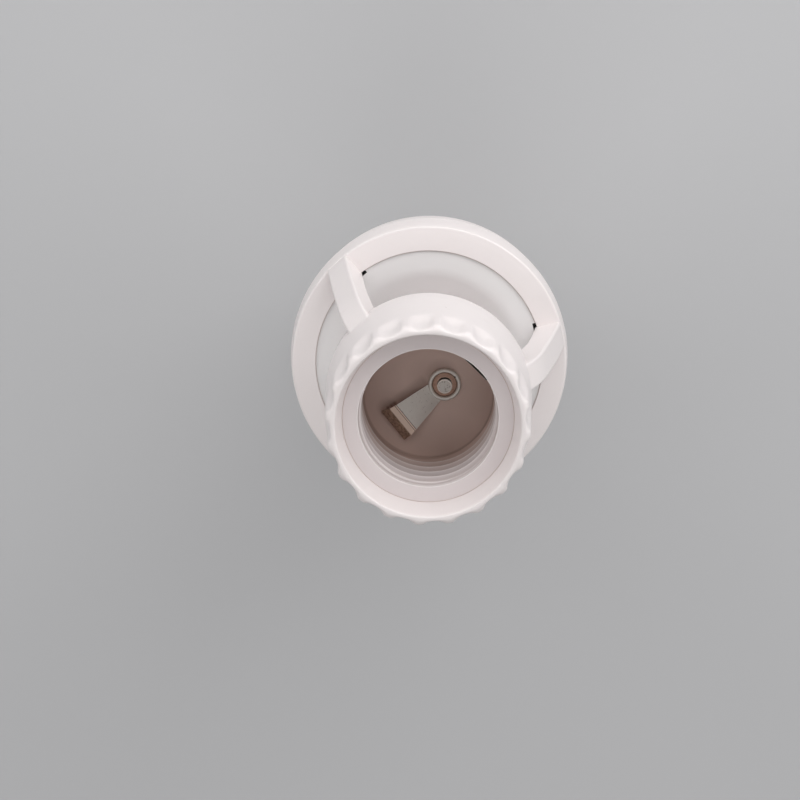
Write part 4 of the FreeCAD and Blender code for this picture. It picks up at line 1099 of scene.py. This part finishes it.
SHELL_CREST = 13.1
SHELL_THREAD = (10.2, 4.7, 23.2)
SHELL_ENVELOPE = [
    (0.0, 4.6), (11.6, 4.6, 0.5), (12.3, 5.6, 0.8), (SHELL_CREST, 7.4, 1.5), (SHELL_CREST, 24.0), (0.0, 24.0),
]
SHELL_BAND = [
    (11.0, 22.4), (12.25, 22.4, 0.4), (12.6, 23.6, 0.6), (12.95, 24.3, 0.3), (12.95, 24.95, 0.1),
    (12.8, 25.0), (12.8, 28.0), (12.3, 28.0), (12.3, 23.6), (11.0, 23.0),
]
INSULATOR_OUTLINE = [
    (1.6, 1.5), (5.6, 1.5, 0.4), (6.4, 2.1, 0.6), (11.2, 4.55, 0.3), (11.7, 4.9, 0.2), (12.1, 6.0),
    (12.1, 8.4), (1.6, 8.4),
]
INSULATOR_STEPS = 144
TIP_OUTLINE = [
    (0.0, 0.0), (2.4, 0.1, 1.5), (4.2, 0.42, 0.8), (4.8, 0.95, 0.3), (4.8, 1.5), (1.5, 1.52), (1.5, 8.4),
    (2.3, 8.4), (2.3, 9.4, 0.4), (0.0, 9.4),
]


class LAMPHOLDER_OT_cap(bpy.types.Operator):
    """Models the screw cap: threaded shell, insulator and centre contact"""
    bl_idname = "lampholder.cap"
    bl_label = "Screw Cap"

    def execute(self, context):
        nickel = plated_sheet("nickel_shell", (0.74, 0.72, 0.69), (0.55, 0.50, 0.43), 0.26,
                              stretch=(1.0, 1.0, 5.0))
        shell = threaded_rod("threaded_shell", SHELL_CREST, *SHELL_THREAD)
        combine(shell, turned("envelope", rounded(SHELL_ENVELOPE)), "INTERSECT")
        shell = join(shell, [turned("shell_band", rounded(SHELL_BAND))])
        finish_mesh(shell, 45.0, recalculate=False)
        place_piece(shell, "cap_shell", nickel)

        disc = turned("cap_insulator_disc", rounded(INSULATOR_OUTLINE), INSULATOR_STEPS)
        place_piece(disc, "cap_insulator",
                    plain_finish("dark_insulator", (0.035, 0.03, 0.03), 0.22))
        tip = turned("cap_tip", rounded(TIP_OUTLINE), SMALL_STEPS)
        place_piece(tip, "cap_contact",
                    plated_sheet("tinned_tip", (0.66, 0.65, 0.62), (0.45, 0.43, 0.40), 0.36))
        return {"FINISHED"}


# Inside parts, which keep their CAD meshes. Each gets what plain_finish takes.

ZINC = (0.62, 0.62, 0.61)
BROWN_WIRE = (0.16, 0.07, 0.03)
BLUE_WIRE = (0.03, 0.08, 0.30)
INSIDE_FINISHES = {
    "circuit_board": ("board_green", (0.05, 0.17, 0.07), 0.35),
    "board_screws": ("zinc_screw", ZINC, 0.3, 1.0),
    "side_screw": ("zinc_screw_small", ZINC, 0.3, 1.0),
    "motion_sensor": ("sensor_can", (0.60, 0.60, 0.59), 0.28, 1.0),
    "light_sensor": ("sensor_body", (0.30, 0.05, 0.03), 0.2),
    "relay": ("relay_case", (0.02, 0.02, 0.022), 0.35),
    "film_capacitor": ("dipped_red", (0.28, 0.05, 0.02), 0.25),
    "electrolytic_capacitor": ("sleeve_black", (0.02, 0.02, 0.03), 0.3),
    "rectifier": ("rectifier_case", (0.025, 0.025, 0.025), 0.45),
    "control_chip": ("chip_case", (0.03, 0.03, 0.03), 0.5),
    "live_lead": ("brown_lead", BROWN_WIRE, 0.4),
    "neutral_lead": ("blue_lead", BLUE_WIRE, 0.4),
    "lamp_live_lead": ("brown_lamp_lead", BROWN_WIRE, 0.4),
    "lamp_neutral_lead": ("blue_lamp_lead", BLUE_WIRE, 0.4),
}


class LAMPHOLDER_OT_inside(bpy.types.Operator):
    """Finishes the board, the parts on it, the leads and the screws"""
    bl_idname = "lampholder.inside"
    bl_label = "Inside Parts"

    def execute(self, context):
        for node, finish in INSIDE_FINISHES.items():
            dress(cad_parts[node], plain_finish(*finish))
        return {"FINISHED"}


# Stage

CAMERA_PLACE = (20.303, 85.021, 490.42)
CAMERA_AIM = (-4.02, 4.85, 109.5)
PICTURE_UP = (0.21142, 0.95365, -0.2143)
FIELD_OF_VIEW = 20.61
CLIP_START = 0.01
FLOOR_SIZE = 8.0
WORLD_STRENGTH = 0.30
SOFTBOX_AIM = (0.0, 0.0, 80.0)
SOFTBOX_DISTANCE = 700.0
SOFTBOX_SIZE = 500.0

# Each softbox: where it stands as the camera sees it (to the right, up, towards it), and its power.
SOFTBOXES = (
    ("high_softbox", (0.1, 0.93, 0.36), 0.91),
    ("upper_softbox", (0.05, 0.68, 0.73), 0.82),
    ("upper_right_softbox", (0.6, 0.6, 0.53), 2.41),
    ("upper_left_softbox", (-0.6, 0.6, 0.53), 1.35),
    ("front_softbox", (0.0, 0.15, 0.99), 0.28),
    ("right_softbox", (0.9, 0.0, 0.43), 1.12),
    ("left_softbox", (-0.9, 0.0, 0.43), 1.02),
    ("low_softbox", (0.0, -0.85, 0.5), 0.96),
)


def picture_direction(right, up, towards):
    """A direction given from the camera: to its right, up and towards it."""
    back = (Vector(CAMERA_PLACE) - Vector(CAMERA_AIM)).normalized()
    side = Vector(PICTURE_UP).cross(back).normalized()
    return (side * right + back.cross(side) * up + back * towards).normalized()


def look(obj, place, aim, up):
    """Points an object's -Z from a place in millimetres at another, with a direction for its top."""
    back = (Vector(place) - Vector(aim)).normalized()
    side = Vector(up).cross(back).normalized()
    turned_to = Matrix((side, back.cross(side), back)).transposed().to_4x4()
    obj.matrix_world = Matrix.Translation(Vector(place) * MM) @ turned_to


def soft_lamp(name, direction, watts):
    """A square softbox that faces the socket from a direction given from the camera."""
    select_only(None)
    bpy.ops.object.light_add(type="AREA")
    lamp = bpy.context.object
    lamp.name = lamp.data.name = name
    lamp.data.shape = "SQUARE"
    lamp.data.size = SOFTBOX_SIZE * MM
    lamp.data.energy = watts
    aim = Vector(SOFTBOX_AIM)
    top = PICTURE_UP if abs(direction[1]) < 0.9 else (1.0, 0.0, 0.0)
    look(lamp, aim + picture_direction(*direction) * SOFTBOX_DISTANCE, aim, top)


class LAMPHOLDER_OT_stage(bpy.types.Operator):
    """Sets the floor, the soft lamps, the surroundings and the camera"""
    bl_idname = "lampholder.stage"
    bl_label = "Stage"

    def execute(self, context):
        colours = context.scene.lamp_holder.colours
        floor = begin("plane", "floor", size=FLOOR_SIZE)
        bpy.ops.object.mode_set(mode="OBJECT")
        dress(floor, Paint("pale_floor").set(base_color=tuple(colours.floor), roughness=0.9))

        for name, direction, watts in SOFTBOXES:
            soft_lamp(name, direction, watts)

        world = bpy.data.worlds.new("studio")
        context.scene.world = world
        world.use_nodes = True
        background = world.node_tree.nodes["Background"]
        background.inputs["Color"].default_value = (1.0, 1.0, 1.0, 1.0)
        background.inputs["Strength"].default_value = WORLD_STRENGTH

        bpy.ops.object.camera_add()
        camera = bpy.context.object
        camera.name = "photo_camera"
        camera.data.sensor_fit = "HORIZONTAL"
        camera.data.angle = math.radians(FIELD_OF_VIEW)
        camera.data.clip_start = CLIP_START
        look(camera, CAMERA_PLACE, CAMERA_AIM, PICTURE_UP)
        context.scene.camera = camera
        context.scene.view_settings.view_transform = "Standard"
        return {"FINISHED"}


# Sidebar

OPERATORS = (
    LAMPHOLDER_OT_front_moulding,
    LAMPHOLDER_OT_window,
    LAMPHOLDER_OT_insert,
    LAMPHOLDER_OT_contacts,
    LAMPHOLDER_OT_rear_housing,
    LAMPHOLDER_OT_cap,
    LAMPHOLDER_OT_inside,
    LAMPHOLDER_OT_stage,
)


class LAMPHOLDER_PT_sidebar(bpy.types.Panel):
    """Lists the lamp holder's settings and steps"""
    bl_idname = "LAMPHOLDER_PT_sidebar"
    bl_label = "Lamp Holder"
    bl_space_type = "VIEW_3D"
    bl_region_type = "UI"
    bl_category = "Lamp Holder"

    def draw(self, context):
        settings = context.scene.lamp_holder
        for group in (settings.sizes, settings.colours):
            column = self.layout.column(align=True)
            for name in group.__annotations__:
                column.prop(group, name)
        column = self.layout.column(align=True)
        for operator in OPERATORS:
            column.operator(operator.bl_idname)


CLASSES = (HolderSizes, HolderColours, HolderSettings, *OPERATORS, LAMPHOLDER_PT_sidebar)


def register():
    for entry in CLASSES:
        bpy.utils.register_class(entry)
    bpy.types.Scene.lamp_holder = bpy.props.PointerProperty(type=HolderSettings)


def unregister():
    del bpy.types.Scene.lamp_holder
    for entry in reversed(CLASSES):
        bpy.utils.unregister_class(entry)


def main():
    register()
    for operator in OPERATORS:
        group, name = operator.bl_idname.split(".")
        getattr(getattr(bpy.ops, group), name)()


if __name__ == "__main__":
    main()
